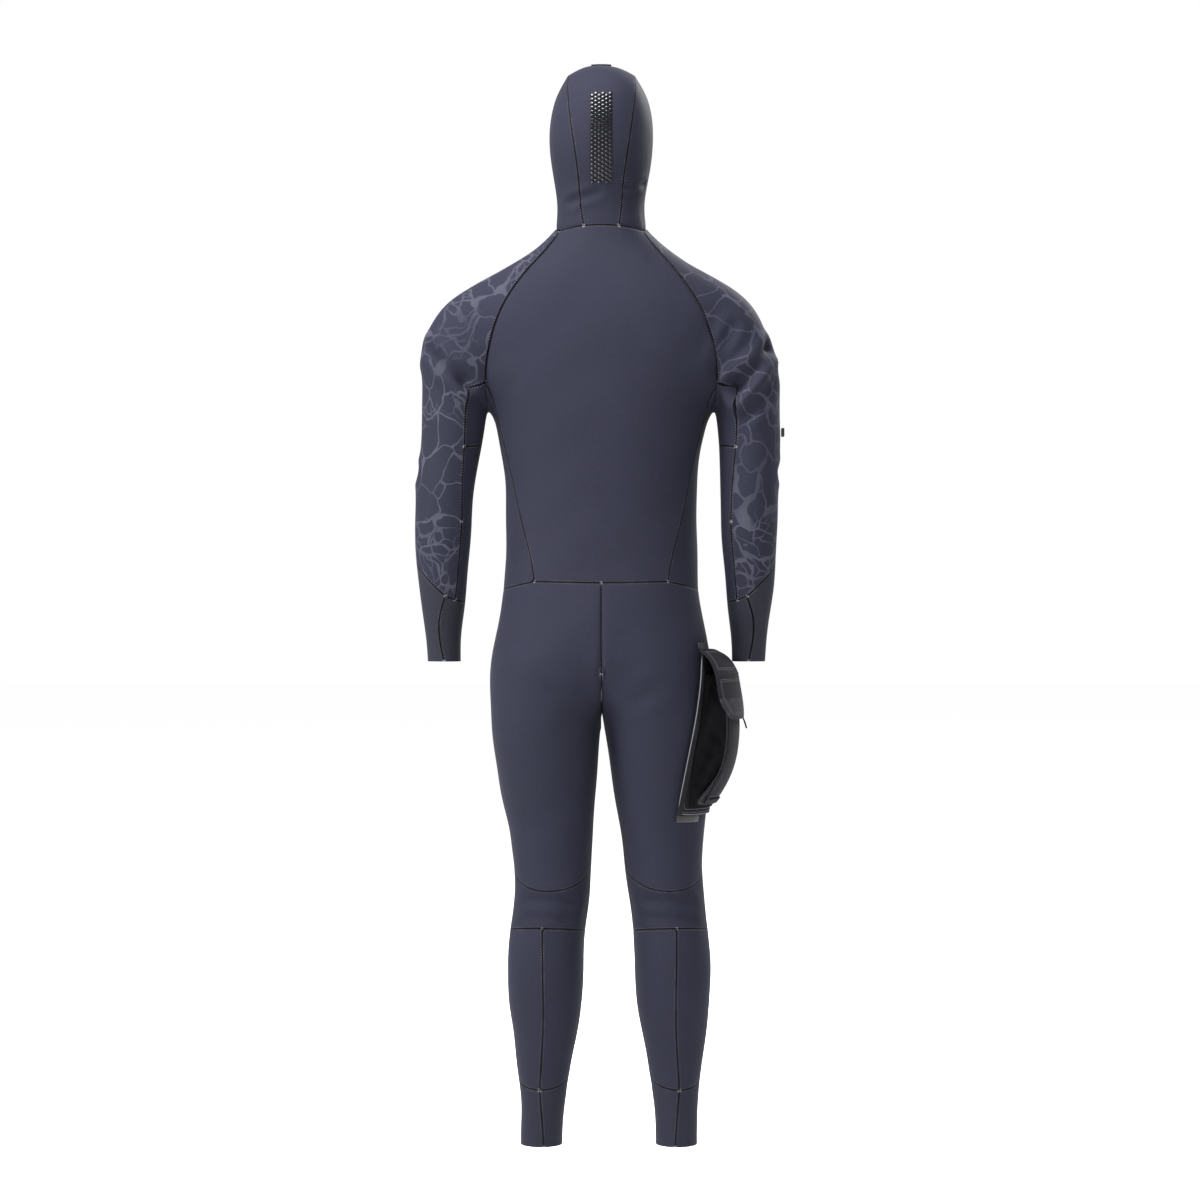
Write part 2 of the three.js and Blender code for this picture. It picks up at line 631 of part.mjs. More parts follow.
const waistRight = joined(waistBack.slice(ACROSS_BACK / 2), waistSide);
const waistOuterIndex = 8; // the outer leg seam begins eight steps round from the back centre
const outerTop = waistRight[waistOuterIndex];
const outerSeam = {
  thigh: reversed(seam([outerTop, legPoint(OUTER_TURN, 780), legPoint(OUTER_TURN, 660),
    legPoint(OUTER_TURN, 540), legPoint(OUTER_TURN, KNEE_HIGH_Z)], 9)),
  knee: reversed(seam([legPoint(OUTER_TURN, KNEE_HIGH_Z), legPoint(OUTER_TURN, KNEE_LOW_Z)], 3)),
  calf: reversed(seam([legPoint(OUTER_TURN, KNEE_LOW_Z), legPoint(OUTER_TURN, 230),
    legPoint(OUTER_TURN, ANKLE_SEAM_Z)], 6)),
};
const innerSeam = {
  thigh: reversed(seam([crotch, ontoBody(V(5, -8, 658)), legPoint(INNER_TURN, 600),
    legPoint(INNER_TURN, 520), legPoint(INNER_TURN, KNEE_HIGH_Z)], 5)),
  knee: reversed(seam([legPoint(INNER_TURN, KNEE_HIGH_Z), legPoint(INNER_TURN, KNEE_LOW_Z)], 3)),
  calf: reversed(seam([legPoint(INNER_TURN, KNEE_LOW_Z), legPoint(INNER_TURN, 230),
    legPoint(INNER_TURN, ANKLE_SEAM_Z)], 6)),
};
const seatSeam = reversed(seam([waistRight[0], onBack(0.01, 840), onBack(0.01, 780),
  ontoBody(V(0.01, -84, 722)), crotch], 4));
const waistFront = joined(waistSide.slice(3), waistChest, [zipEdge[0], onFront(0.01, WAIST_Z)]);
const bellySeam = reversed(seam([waistFront[waistFront.length - 1], onFront(0.01, 830), onFront(0.01, 775),
  ontoBody(V(0.01, 64, 718)), crotch], 4));

const BACK = V(0, -1, 0);
const FRONT = V(0, 1, 0);
const ACROSS_LEG_BACK = waistOuterIndex;
const ACROSS_LEG_FRONT = waistFront.length - 1;
const legBackRow = (k, bow) => (a, b) => crossSeam(a, b, legCentre((a.z + b.z) / 2), BACK, k, bow);
const legFrontRow = (k, bow) => (a, b) => crossSeam(a, b, legCentre((a.z + b.z) / 2), FRONT, k, bow);

const kneeBackTop = legBackRow(ACROSS_LEG_BACK, KNEE_BACK_DIP)(innerSeam.thigh[0], outerSeam.thigh[0]);
const kneePadTop = legFrontRow(ACROSS_LEG_FRONT, KNEE_PAD_RISE)(outerSeam.thigh[0], innerSeam.thigh[0]);
const calfTop = legBackRow(ACROSS_LEG_BACK, 9)(innerSeam.knee[0], outerSeam.knee[0]);
const shinTop = legFrontRow(ACROSS_LEG_FRONT, KNEE_PAD_DROP)(outerSeam.knee[0], innerSeam.knee[0]);
const ankleBack = legBackRow(ACROSS_LEG_BACK, ANKLE_SEAM_DIP)(innerSeam.calf[0], outerSeam.calf[0]);
const ankleFront = legFrontRow(ACROSS_LEG_FRONT, 8)(outerSeam.calf[0], innerSeam.calf[0]);

const thighSpine = (u, l, r) => {
  const z = Math.min((l.z + r.z) / 2, 860);
  const c = legCentre(Math.min(z, 780));
  return { centre: V(c.x * (1 - 0.25 * ramp(z, 690, 860)), c.y, z) };
};
addPair("thigh_back", gridBetween({
  left: joined(innerSeam.thigh, seatSeam), right: outerSeam.thigh,
  bottom: kneeBackTop, top: waistRight.slice(0, waistOuterIndex + 1),
  spine: thighSpine, outward: BACK,
}), "nylon", legLean);
addPair("thigh_front", gridBetween({
  left: outerSeam.thigh, right: joined(innerSeam.thigh, bellySeam),
  bottom: kneePadTop, top: waistFront,
  spine: thighSpine, outward: FRONT,
}), "nylon", legLean);
addPair("knee_back", gridBetween({
  left: innerSeam.knee, right: outerSeam.knee, bottom: calfTop, top: kneeBackTop,
  spine: upright(LEG), outward: BACK,
}), "dark", legLean);
addPair("knee_pad", gridBetween({
  left: outerSeam.knee, right: innerSeam.knee, bottom: shinTop, top: kneePadTop,
  spine: upright(LEG), outward: FRONT,
}), "dark", legLean);

const HALF_CALF = ACROSS_LEG_BACK / 2;
const calfSeam = seam([ankleBack[HALF_CALF], legPoint(0.03, 200), legPoint(0.05, 270), calfTop[HALF_CALF]], 6);
addPair("calf_inner", gridBetween({
  left: innerSeam.calf, right: calfSeam,
  bottom: ankleBack.slice(0, HALF_CALF + 1), top: calfTop.slice(0, HALF_CALF + 1),
  spine: upright(LEG), outward: V(-0.7, -0.7, 0),
}), "nylon", legLean);
addPair("calf_outer", gridBetween({
  left: calfSeam, right: outerSeam.calf, bottom: ankleBack.slice(HALF_CALF), top: calfTop.slice(HALF_CALF),
  spine: upright(LEG), outward: V(0.7, -0.7, 0),
}), "nylon", legLean);
addPair("shin_front", gridBetween({
  left: outerSeam.calf, right: innerSeam.calf, bottom: ankleFront, top: shinTop,
  spine: upright(LEG), outward: FRONT,
}), "nylon", legLean);

// The ankle cuff is one wrap of sheet, closed by a seam down the back of the ankle.
const ankleRing = joined(ankleBack.slice(HALF_CALF), ankleFront, ankleBack.slice(0, HALF_CALF + 1));
const ankleRail = reversed(seam([ankleBack[HALF_CALF], legPoint(0.03, 50), legPoint(-0.1, 0)], 4));
const heel = ankleRail[0];
const ankleEnd = crossSeam(V(heel.x + 0.2, heel.y, 0), V(heel.x - 0.2, heel.y, 0), V(heel.x, legCentre(0).y, 0),
  FRONT, ankleRing.length - 1);
addPair("ankle_cuff", gridBetween({
  left: nudged(ankleRail, 0.2), right: nudged(ankleRail, -0.2), bottom: ankleEnd,
  top: [nudged([ankleRing[0]], 0.2)[0], ...ankleRing.slice(1, -1), nudged([ankleRing[0]], -0.2)[0]],
  spine: across(LEG), outward: FRONT,
}), "dark", legLean, NEOPRENE, 0);

// ---------------------------------------------------------------- hood
const faceEdge = (a, scale = 0) => onFront(
  (FACE_HALF_WIDTH - scale) * Math.sin(a),
  FACE_Z + (FACE_HALF_HEIGHT - scale) * Math.cos(a),
);
const faceArc = (a, b, count, scale = 0) => Array.from({ length: count + 1 },
  (_, i) => faceEdge(a + ((b - a) * i) / count, scale));
const BROW = 0.64; // where the hood's centre strip meets the face opening, turned from its top
const CHEEK = 2.1; // where the throat panel meets it
const HOOD_ROWS = 6;
const THROAT_ROWS = 3;
const STRIP_BOTTOM = 7; // the strip's seam meets the neck seam at this point of it

const neckRingSide = joined(neckLineBack.slice(STRIP_BOTTOM), neckSide);
const HOOD_ACROSS = neckRingSide.length - 1;
const stripLow = seam([neckLineBack[STRIP_BOTTOM], onBack(34, 1500), onBack(35, 1530), onBack(42, 1575),
  onBack(49, 1620), onBack(53, 1660)], HOOD_ROWS);
// A point of the crown, seen from the middle of the head; rise is a share of the crown's height over it.
const onCrown = (x, y, rise) => castFrom(V(0, HEAD.y, HEAD.z), V(x, y - HEAD.y, rise * HEAD.up).normalize());
const stripHigh = seam([stripLow[HOOD_ROWS], onCrown(54, -36, 0.81), onCrown(54, 15, 0.85),
  onCrown(48, 70, 0.7), faceEdge(BROW)], HOOD_ACROSS);
const stripRail = joined(stripLow, stripHigh);
addPanel("hood_back_panel", gridBetween({
  left: mirrored(stripRail), right: stripRail,
  bottom: neckLineBack.slice(ACROSS_BACK - STRIP_BOTTOM, STRIP_BOTTOM + 1),
  top: faceArc(-BROW, BROW, 2 * STRIP_BOTTOM - ACROSS_BACK),
  spine: (_, l, r) => {
    const centre = V(0, 8, Math.min(Math.max(l.z, 1490), 1590));
    const facing = V(0, (l.y + r.y) / 2 - centre.y, (l.z + r.z) / 2 - centre.z);
    return { centre, facing, axis: new THREE.Vector3().crossVectors(facing, V(1, 0, 0)) };
  },
}), "nylon");

const throatSeam = seam([neckFront, onFront(60, 1490), faceEdge(CHEEK)], THROAT_ROWS);
const cheekArc = faceArc(CHEEK, BROW, HOOD_ROWS - THROAT_ROWS);
addPair("hood_side", gridBetween({
  left: stripLow, right: joined(throatSeam, cheekArc), bottom: neckRingSide, top: stripHigh,
  spine: (_, l, r) => ({ centre: V(0, 8, Math.min((l.z + r.z) / 2, 1640)) }), outward: V(1, 0.1, 0),
}), "nylon");

const throatMiddle = onFront(0.01, chestTop[ACROSS_CHEST].z);
const throatBottom = [...mirrored(chestTop), throatMiddle, ...reversed(chestTop)];
addPanel("throat_panel", gridBetween({
  left: mirrored(throatSeam), right: throatSeam, bottom: throatBottom,
  top: faceArc(2 * Math.PI - CHEEK, CHEEK, throatBottom.length - 1),
  spine: upright(TRUNK), outward: FRONT,
}), "nylon");

// A ring of smooth-skin rubber round the face, glued edge to edge and closed under the chin.
const CHIN_STEPS = (throatBottom.length - 1) / 2;
const step = (a, b, count) => Array.from({ length: count }, (_, i) => a + ((b - a) * (i + 1)) / count);
const CHEEK_STEPS = HOOD_ROWS - THROAT_ROWS;
const BROW_STEPS = 2 * STRIP_BOTTOM - ACROSS_BACK;
const faceAngles = [
  Math.PI,
  ...step(Math.PI, CHEEK, CHIN_STEPS),
  ...step(CHEEK, BROW, CHEEK_STEPS),
  ...step(BROW, -BROW, BROW_STEPS),
  ...step(-BROW, -CHEEK, CHEEK_STEPS),
  ...step(-CHEEK, -Math.PI, CHIN_STEPS),
];
const sealRow = (scale) => faceAngles.map((a, i) => {
  const edge = i === 0 ? 0.004 : i === faceAngles.length - 1 ? -0.004 : 0;
  return faceEdge(a - edge, scale);
});
const sealGrid = [sealRow(0), sealRow(FACE_SEAL_WIDTH / 2), sealRow(FACE_SEAL_WIDTH)];
addPanel("face_seal", sealGrid, "smooth", noLean, THIN_SHEET);

// ---------------------------------------------------------------- pieces laid on the panels
// A thin piece that follows the body, between two heights above it.
function addPatch(name, grid, low, high, look, lean = noLean) {
  const normals = grid.map((row) => row.map(bodyNormal));
  const raised = (p, i, j, height) => lean(p.clone().addScaledVector(normals[i][j], height));
  const lift = (height) => grid.map((row, i) => row.map((p, j) => raised(p, i, j, height)));
  addMesh(name, sheetGeometry(lift(high), lift(low)), look);
}
const gridOf = (rows, cols, point) => Array.from({ length: rows + 1 },
  (_, i) => Array.from({ length: cols + 1 }, (__, j) => point(i / rows, j / cols)));

addPatch("hood_vent_strip", gridOf(8, 4, (u, v) => onBack(
  VENT_HALF_WIDTH * (2 * v - 1), VENT_LOW_Z + (VENT_HIGH_Z - VENT_LOW_Z) * u)),
VENT_GAP, VENT_GAP + VENT_THICKNESS, "rubber");
addPatch("hood_air_valve", gridOf(3, 4, (u, v) => ontoBody(V(-16 + 32 * v, 2 + 22 * u, CROWN_Z))),
  CLEARANCE, CLEARANCE + 1.6, "rubber");

// ---------------------------------------------------------------- front zip
function addBox(name, low, high, look, move = noLean) {
  const size = high.clone().sub(low);
  const geometry = new THREE.BoxGeometry(size.x, size.y, size.z);
  const centre = move(low.clone().add(high).multiplyScalar(0.5));
  geometry.translate(centre.x, centre.y, centre.z);
  return addMesh(name, geometry, look);
}

const tapeFront = ZIP_FRONT_Y - 1.4;
const tapeBack = tapeFront - TAPE_THICKNESS;
const coilFront = tapeFront + CLEARANCE + COIL_HEIGHT;
for (const [side, name] of [[1, "right"], [-1, "left"]]) {
  const between = (x1, x2) => [Math.min(side * x1, side * x2), Math.max(side * x1, side * x2)];
  const [tapeA, tapeB] = between(0.3, ZIP_HALF - 0.6);
  addBox("zip_tape_" + name, V(tapeA, tapeBack, WAIST_Z + 1), V(tapeB, tapeFront, ZIP_TOP_Z), "tape");
  const [coilA, coilB] = between(0.2, 0.2 + COIL_WIDTH);
  addBox("zip_coil_" + name, V(coilA, tapeFront + CLEARANCE, ZIP_BOTTOM_Z + 8),
    V(coilB, coilFront, ZIP_TOP_Z - 2), "coil");
}
addBox("zip_stop", V(-3.6, tapeFront + CLEARANCE, ZIP_BOTTOM_Z + 2),
  V(3.6, coilFront, ZIP_BOTTOM_Z + 7), "metal");
const underflapFront = ZIP_FRONT_Y - NEOPRENE - UNDERFLAP_GAP;
addBox("zip_underflap", V(-UNDERFLAP_WIDTH / 2, underflapFront - THIN_SHEET, ZIP_BOTTOM_Z - 5),
  V(UNDERFLAP_WIDTH / 2, underflapFront, ZIP_TOP_Z - 15), "smooth");

// The slider is a channel over both coils, with a lug in front that the pull straddles.
const sliderZ = ZIP_TOP_Z - 4 - SLIDER_LENGTH;
const flangeBack = tapeFront + CLEARANCE;
const plateBack = coilFront + CLEARANCE;
const plateFront = plateBack + 1.8;
const flangeIn = 0.2 + COIL_WIDTH + CLEARANCE;
const flangeOut = flangeIn + 2;
const LUG_HALF = 1.3;
const LUG_FRONT = plateFront + 4.6;
const channel = new THREE.Shape([
  [-flangeOut, flangeBack], [-flangeIn, flangeBack], [-flangeIn, plateBack], [flangeIn, plateBack],
  [flangeIn, flangeBack], [flangeOut, flangeBack], [flangeOut, plateFront], [LUG_HALF, plateFront],
  [LUG_HALF, LUG_FRONT], [-LUG_HALF, LUG_FRONT], [-LUG_HALF, plateFront], [-flangeOut, plateFront],
].map(([x, y]) => new THREE.Vector2(x, y)));
const sliderGeometry = new THREE.ExtrudeGeometry(channel, { depth: SLIDER_LENGTH, bevelEnabled: false });
sliderGeometry.translate(0, 0, sliderZ);
addMesh("zip_slider", sliderGeometry, "metal");

const pullPivotZ = sliderZ + SLIDER_LENGTH / 2;
const pullPivotY = plateFront + 2.6;
const PULL_HALF = 4.6;
const PULL_THICKNESS = 2;
const forkHalf = LUG_HALF + CLEARANCE;
const forkDepth = SLIDER_LENGTH / 2 + 2.6;
const pullOutline = new THREE.Shape([
  [-PULL_HALF + 1, 2], [-forkHalf, 2], [-forkHalf, -forkDepth], [forkHalf, -forkDepth], [forkHalf, 2],
  [PULL_HALF - 1, 2], [PULL_HALF, 0], [PULL_HALF, -PULL_LENGTH + 5], [PULL_HALF - 3, -PULL_LENGTH],
  [-PULL_HALF + 3, -PULL_LENGTH], [-PULL_HALF, -PULL_LENGTH + 5], [-PULL_HALF, 0],
].map(([x, z]) => new THREE.Vector2(x, z)));
const pullGeometry = new THREE.ExtrudeGeometry(pullOutline, { depth: PULL_THICKNESS, bevelEnabled: false });
pullGeometry.rotateX(Math.PI / 2);
pullGeometry.translate(0, pullPivotY + PULL_THICKNESS / 2, pullPivotZ);
addMesh("zip_pull", pullGeometry, "rubber");

// ---------------------------------------------------------------- thigh pocket, on the wearer's right leg
// Pocket pieces are placed by turn round the leg from its back, height, and distance off the leg.
const POCKET_FRONT_TURN = 2.16;
const SHEET = 3;
const BASE_OFF = 1.6; // the base stands this far off the true leg, whose panels are faceted
const LOOSE = 1.1; // clearance between stacked pocket sheets
const pocketPoint = (turn, z, off) => {
  const out = V(Math.sin(turn), -Math.cos(turn), 0);
  return legPoint(turn, z).addScaledVector(out, off);
};
const baseBackTurn = (z) => 0.77 - (0.51 * (POCKET_TOP_Z - z)) / (POCKET_TOP_Z - POCKET_BOTTOM_Z);
const FRONT_BOTTOM_Z = POCKET_BOTTOM_Z + 15;
const pocketOff = (z) => {
  const t = Math.min(Math.max((z - FRONT_BOTTOM_Z + 6) / 104, 0), 1);
  return 4 + (POCKET_DEPTH - 4) * (1 - (1 - t) ** 2) - 0.24 * Math.max(z - 690, 0);
};
const rimTurn = (z) => 0.905 - 0.36 * (1 - Math.min((z - FRONT_BOTTOM_Z) / 75, 1)) ** 2;
const rimTurnFront = (z) => POCKET_FRONT_TURN - 0.16 + 0.1 * (1 - Math.min((z - FRONT_BOTTOM_Z) / 75, 1)) ** 2;

// A sheet given as a grid of [turn, z, distance off the leg] and its thickness.
function addPocketSheet(name, grid, thickness, look) {
  const placed = ([turn, z, off], extra) => legLean(pocketPoint(turn, z, off + extra));
  const face = (extra) => grid.map((row) => row.map((point) => placed(point, extra)));
  addMesh(name, sheetGeometry(face(thickness), face(0)), look);
}
const mix = (a, b, t) => a + (b - a) * t;
const FRONT_ROWS = 8;
const FRONT_COLS = 6;

addPocketSheet("pocket_base", gridOf(7, 7, (u, v) => {
  const z = mix(POCKET_BOTTOM_Z, POCKET_TOP_Z, u);
  return [mix(baseBackTurn(z), POCKET_FRONT_TURN, v), z, BASE_OFF];
}), SHEET, "dark");
addPocketSheet("pocket_front", gridOf(FRONT_ROWS, FRONT_COLS, (u, v) => {
  const z = mix(FRONT_BOTTOM_Z, POCKET_MOUTH_Z, u);
  return [mix(rimTurn(z), rimTurnFront(z), v), z, pocketOff(z)];
}), SHEET, "dark");

// The bellows runs down the back side, under the bottom and up the front side, with one fold inwards.
const bellowsStations = [
  ...step(0, 1, 5).map((t) => ["back", mix(POCKET_MOUTH_Z, FRONT_BOTTOM_Z + 30, t - 0.2)]),
  ...step(0, 1, 8).map((t) => ["under", (t - 1 / 8) * (8 / 7)]),
  ...step(0, 1, 5).map((t) => ["front", mix(FRONT_BOTTOM_Z + 30, POCKET_MOUTH_Z, t)]),
];
const bellowsLow = BASE_OFF + SHEET + LOOSE;
const bellowsGrid = (inset) => bellowsStations.map(([part, at]) => {
  if (part === "under") {
    const low = pocketPoint(mix(0.5, 1.95, at), FRONT_BOTTOM_Z - 4 + inset, bellowsLow);
    const under = pocketOff(FRONT_BOTTOM_Z + 6) - 1.5 * LOOSE;
    const high = pocketPoint(mix(0.68, 1.93, at), FRONT_BOTTOM_Z + 6 + inset, under);
    return [low, low.clone().lerp(high, 0.5).add(V(0, 0, 1)), high];
  }
  const sign = part === "back" ? 1 : -1;
  const inner = part === "back" ? baseBackTurn(at) + 0.1 : POCKET_FRONT_TURN - 0.07;
  const outer = part === "back" ? rimTurn(at) + 0.02 : rimTurnFront(at) - 0.02;
  const shift = (sign * inset) / 100;
  const high = pocketOff(at) - 1.5 * LOOSE;
  const fold = sign * 0.1 * ramp(at, FRONT_BOTTOM_Z + 20, FRONT_BOTTOM_Z + 80);
  return [
    pocketPoint(inner + shift, at, bellowsLow),
    pocketPoint((inner + outer) / 2 + shift + fold, at, (bellowsLow + high) / 2),
    pocketPoint(outer + shift, at, high),
  ];
});
const bellowsFace = (inset) => bellowsGrid(inset).map((row) => row.map(legLean));
addMesh("pocket_bellows", sheetGeometry(bellowsFace(0), bellowsFace(2)), "bellows");

// Binding tape sewn along the pocket front's rim.
const BINDING_TURN = 0.08;
const frontZ = (i) => mix(FRONT_BOTTOM_Z, POCKET_MOUTH_Z, i / FRONT_ROWS);
const sideStation = (turnAt, side) => (i) => [0.01, BINDING_TURN].map((inset) => [
  turnAt(frontZ(i)) + side * inset, frontZ(i), pocketOff(frontZ(i)) + SHEET + LOOSE]);
const underStation = (j) => {
  const turn = mix(rimTurn(FRONT_BOTTOM_Z), rimTurnFront(FRONT_BOTTOM_Z), j / FRONT_COLS);
  return [1, 9].map((up) => [turn, FRONT_BOTTOM_Z + up, pocketOff(FRONT_BOTTOM_Z + up) + SHEET + LOOSE]);
};
addPocketSheet("pocket_binding", [
  ...[8, 7, 6, 5, 4, 3, 2, 1].map(sideStation(rimTurn, 1)),
  ...[0.9, 2, 3, 4, 5.1].map(underStation),
  ...[1, 2, 3, 4, 5, 6, 7, 8].map(sideStation(rimTurnFront, -1)),
], 1.4, "webbing");

// The flap closes over the mouth. Its yoke is sewn down at the top, and the free part folds up below it.
// How far down the flap each level is, and its share of the standoff there.
const FLAP_LEVELS = [[0, 0.09], [0.05, 0.28], [0.09, 0.45], [0.2, 0.63], [0.34, 0.75], [0.52, 0.86],
  [0.74, 0.93], [0.91, 0.945], [1, 0.93]];
const FLAP_TOP_Z = POCKET_TOP_Z + 2;
const flapOff = (z) => {
  const u = (FLAP_TOP_Z - z) / (FLAP_TOP_Z - FLAP_BOTTOM_Z);
  const k = Math.max(1, FLAP_LEVELS.findIndex(([at]) => at >= u - 1e-9));
  const [a, b] = [FLAP_LEVELS[k - 1], FLAP_LEVELS[k]];
  return FLAP_STANDOFF * mix(a[1], b[1], (u - a[0]) / (b[0] - a[0]));
};
const flapLevels = FLAP_LEVELS.map(([at]) => FLAP_TOP_Z - at * (FLAP_TOP_Z - FLAP_BOTTOM_Z));
const yokeZ = [...flapLevels.filter((z) => z > FLAP_FOLD_Z + SEAM_GAP), FLAP_FOLD_Z + SEAM_GAP / 2];
const flapZ = [FLAP_FOLD_Z - SEAM_GAP / 2, ...flapLevels.filter((z) => z < FLAP_FOLD_Z - SEAM_GAP)];
const flapBackTurn = (z) => 0.7 + 0.2 * ramp(-z, -FLAP_BOTTOM_Z - 26, -FLAP_BOTTOM_Z);
const flapFrontTurn = (z) => POCKET_FRONT_TURN - 0.04 - 0.2 * ramp(-z, -FLAP_BOTTOM_Z - 26, -FLAP_BOTTOM_Z);
const FLAP_COLS = 7;
const flapRow = (z) => Array.from({ length: FLAP_COLS + 1 }, (_, j) => [
  mix(flapBackTurn(z), flapFrontTurn(z), j / FLAP_COLS), z, flapOff(z)]);
addPocketSheet("pocket_flap_yoke", yokeZ.map(flapRow), FLAP_SHEET, "print");
addPocketSheet("pocket_flap", flapZ.map(flapRow), FLAP_SHEET, "print");

// A flat patch over a range of turn and a range of height.
const patchOf = (turns, heights, cols, off) => gridOf(1, cols, (u, v) => {
  const z = mix(heights[0], heights[1], u);
  return [mix(turns[0], turns[1], v), z, off(z)];
});
const TAB_THICKNESS = 2.4;
const TAB_GAP = 1; // clearance between a corner tab and the base's end
const onBase = () => BASE_OFF;
const topTab = [POCKET_TOP_Z + TAB_GAP + 2, POCKET_TOP_Z + TAB_GAP + 12];
const bottomTab = [POCKET_BOTTOM_Z - TAB_GAP - 11, POCKET_BOTTOM_Z - TAB_GAP];
addPocketSheet("pocket_tab_top", patchOf([0.72, 0.96], topTab, 2, onBase), TAB_THICKNESS, "rubber");
addPocketSheet("pocket_tab_bottom", patchOf([0.26, 0.8], bottomTab, 3, onBase), TAB_THICKNESS, "rubber");
const pullLevels = [[FLAP_BOTTOM_Z - 17, 6], [FLAP_BOTTOM_Z - 7, 3], [FLAP_BOTTOM_Z - CLEARANCE, 0]];
addPocketSheet("pocket_flap_pull", pullLevels.map(([z, out]) => [1.5, 1.56, 1.62].map(
  (turn) => [turn, z, flapOff(FLAP_BOTTOM_Z) + 0.4 + out])), 2.4, "webbing");

// ---------------------------------------------------------------- rubber tab on the right upper arm
const ARM_TAB_Z = 1133;
const armTabX = castFrom(armCentre(ARM_TAB_Z), OUTWARD).x + CLEARANCE;
addBox("arm_tab", V(armTabX, -12, ARM_TAB_Z - 7), V(armTabX + 4.8, 2, ARM_TAB_Z + 7), "rubber", armLean);

export default suit;
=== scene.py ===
import math

import bmesh
import bpy
from mathutils import Matrix, Vector, kdtree
from mathutils.bvhtree import BVHTree


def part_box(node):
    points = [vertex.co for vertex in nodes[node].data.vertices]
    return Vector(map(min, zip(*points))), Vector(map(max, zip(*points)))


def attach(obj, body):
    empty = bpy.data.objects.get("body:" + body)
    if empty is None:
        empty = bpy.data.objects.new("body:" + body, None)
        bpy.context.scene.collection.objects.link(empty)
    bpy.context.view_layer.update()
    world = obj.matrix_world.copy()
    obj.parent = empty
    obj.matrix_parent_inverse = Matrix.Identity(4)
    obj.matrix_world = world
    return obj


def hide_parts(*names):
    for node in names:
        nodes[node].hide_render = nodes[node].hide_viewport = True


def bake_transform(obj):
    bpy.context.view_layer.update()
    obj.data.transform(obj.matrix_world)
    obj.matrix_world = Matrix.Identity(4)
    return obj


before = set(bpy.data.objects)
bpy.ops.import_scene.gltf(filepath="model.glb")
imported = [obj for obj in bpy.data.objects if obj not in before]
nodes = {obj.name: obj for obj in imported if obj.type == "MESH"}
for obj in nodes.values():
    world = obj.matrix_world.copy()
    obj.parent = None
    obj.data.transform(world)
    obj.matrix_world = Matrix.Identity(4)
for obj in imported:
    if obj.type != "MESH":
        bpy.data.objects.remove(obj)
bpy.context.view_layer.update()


# ---- Studio ----
# A plain pale floor a little below the suit, and even white surroundings. The main light stands high
# on the left, with one overhead, one for the front, and a small low one on the camera's side.
# The camera stands behind the suit at the height of its middle.
FLOOR_Z = -0.06
PALE = (0.985, 0.985, 0.985, 1)
camera_data = bpy.data.cameras.new("camera")
camera_data.lens = 94
camera = bpy.data.objects.new("camera", camera_data)
camera.location = (-0.002, -5.0, 0.866)
camera.rotation_euler = (math.radians(90), 0, 0)
bpy.context.collection.objects.link(camera)
bpy.context.scene.camera = camera
bpy.context.scene.view_settings.view_transform = "Standard"

world = bpy.data.worlds.new("surroundings")
world.use_nodes = True
world.node_tree.nodes["Background"].inputs["Color"].default_value = (1.0, 1.0, 1.0, 1)
world.node_tree.nodes["Background"].inputs["Strength"].default_value = 1.0
bpy.context.scene.world = world


def area_light(name, place, target, size, power):
    data = bpy.data.lights.new(name, "AREA")
    data.size = size
    data.energy = power
    light = bpy.data.objects.new(name, data)
    light.location = place
    light.rotation_euler = (Vector(target) - Vector(place)).to_track_quat("-Z", "Y").to_euler()
    bpy.context.collection.objects.link(light)


area_light("key", (-3.2, -1.7, 3.0), (0.0, 0.0, 1.1), 1.3, 330)
area_light("overhead", (-0.3, -0.9, 3.3), (0.0, -0.05, 1.7), 0.9, 150)
area_light("front_key", (2.4, 2.6, 3.2), (0.0, 0.0, 1.1), 1.6, 240)
area_light("low_strip", (-0.60, -1.9, 0.95), (0.0, -0.09, 1.56), 0.4, 26)

bpy.ops.object.select_all(action="DESELECT")
bpy.ops.mesh.primitive_plane_add(size=60, location=(0, 0, FLOOR_Z))
floor = bpy.context.object
floor.name = "floor"
floor_paint = bpy.data.materials.new("floor_paint")
floor_paint.use_nodes = True
floor_shader = floor_paint.node_tree.nodes["Principled BSDF"]
floor_shader.inputs["Base Color"].default_value = PALE
floor_shader.inputs["Roughness"].default_value = 0.9
floor_shader.inputs["Specular IOR Level"].default_value = 0.0
floor.data.materials.append(floor_paint)


# ---- Back panel ----
# The one large panel of the back, cut from 5 mm foam rubber faced with nylon knit on both sides.
# Its edges are butted to the next panels, glued, and closed with a ladder of blind stitches.
SHEET = 0.0048


def add(tree, kind, settings=None, **sockets):
    made = tree.nodes.new("ShaderNode" + kind)
    for key, value in (settings or {}).items():
        setattr(made, key, value)
    for key, value in sockets.items():
        socket = made.inputs[key.replace("_", " ")]
        if isinstance(value, bpy.types.NodeSocket):
            tree.links.new(value, socket)
        else:
            socket.default_value = value
    return made


def calc(tree, operation, *values):
    made = tree.nodes.new("ShaderNodeMath")
    made.operation = operation
    for socket, value in zip(made.inputs, values):
        if isinstance(value, bpy.types.NodeSocket):
            tree.links.new(value, socket)
        else:
            socket.default_value = value
    return made.outputs[0]


def between(tree, value, low, high, out_low=0.0, out_high=1.0):
    made = add(tree, "MapRange", {"interpolation_type": "SMOOTHSTEP"}, Value=value)
    made.inputs["From Min"].default_value = low
    made.inputs["From Max"].default_value = high
    made.inputs["To Min"].default_value = out_low
    made.inputs["To Max"].default_value = out_high
    return made.outputs["Result"]


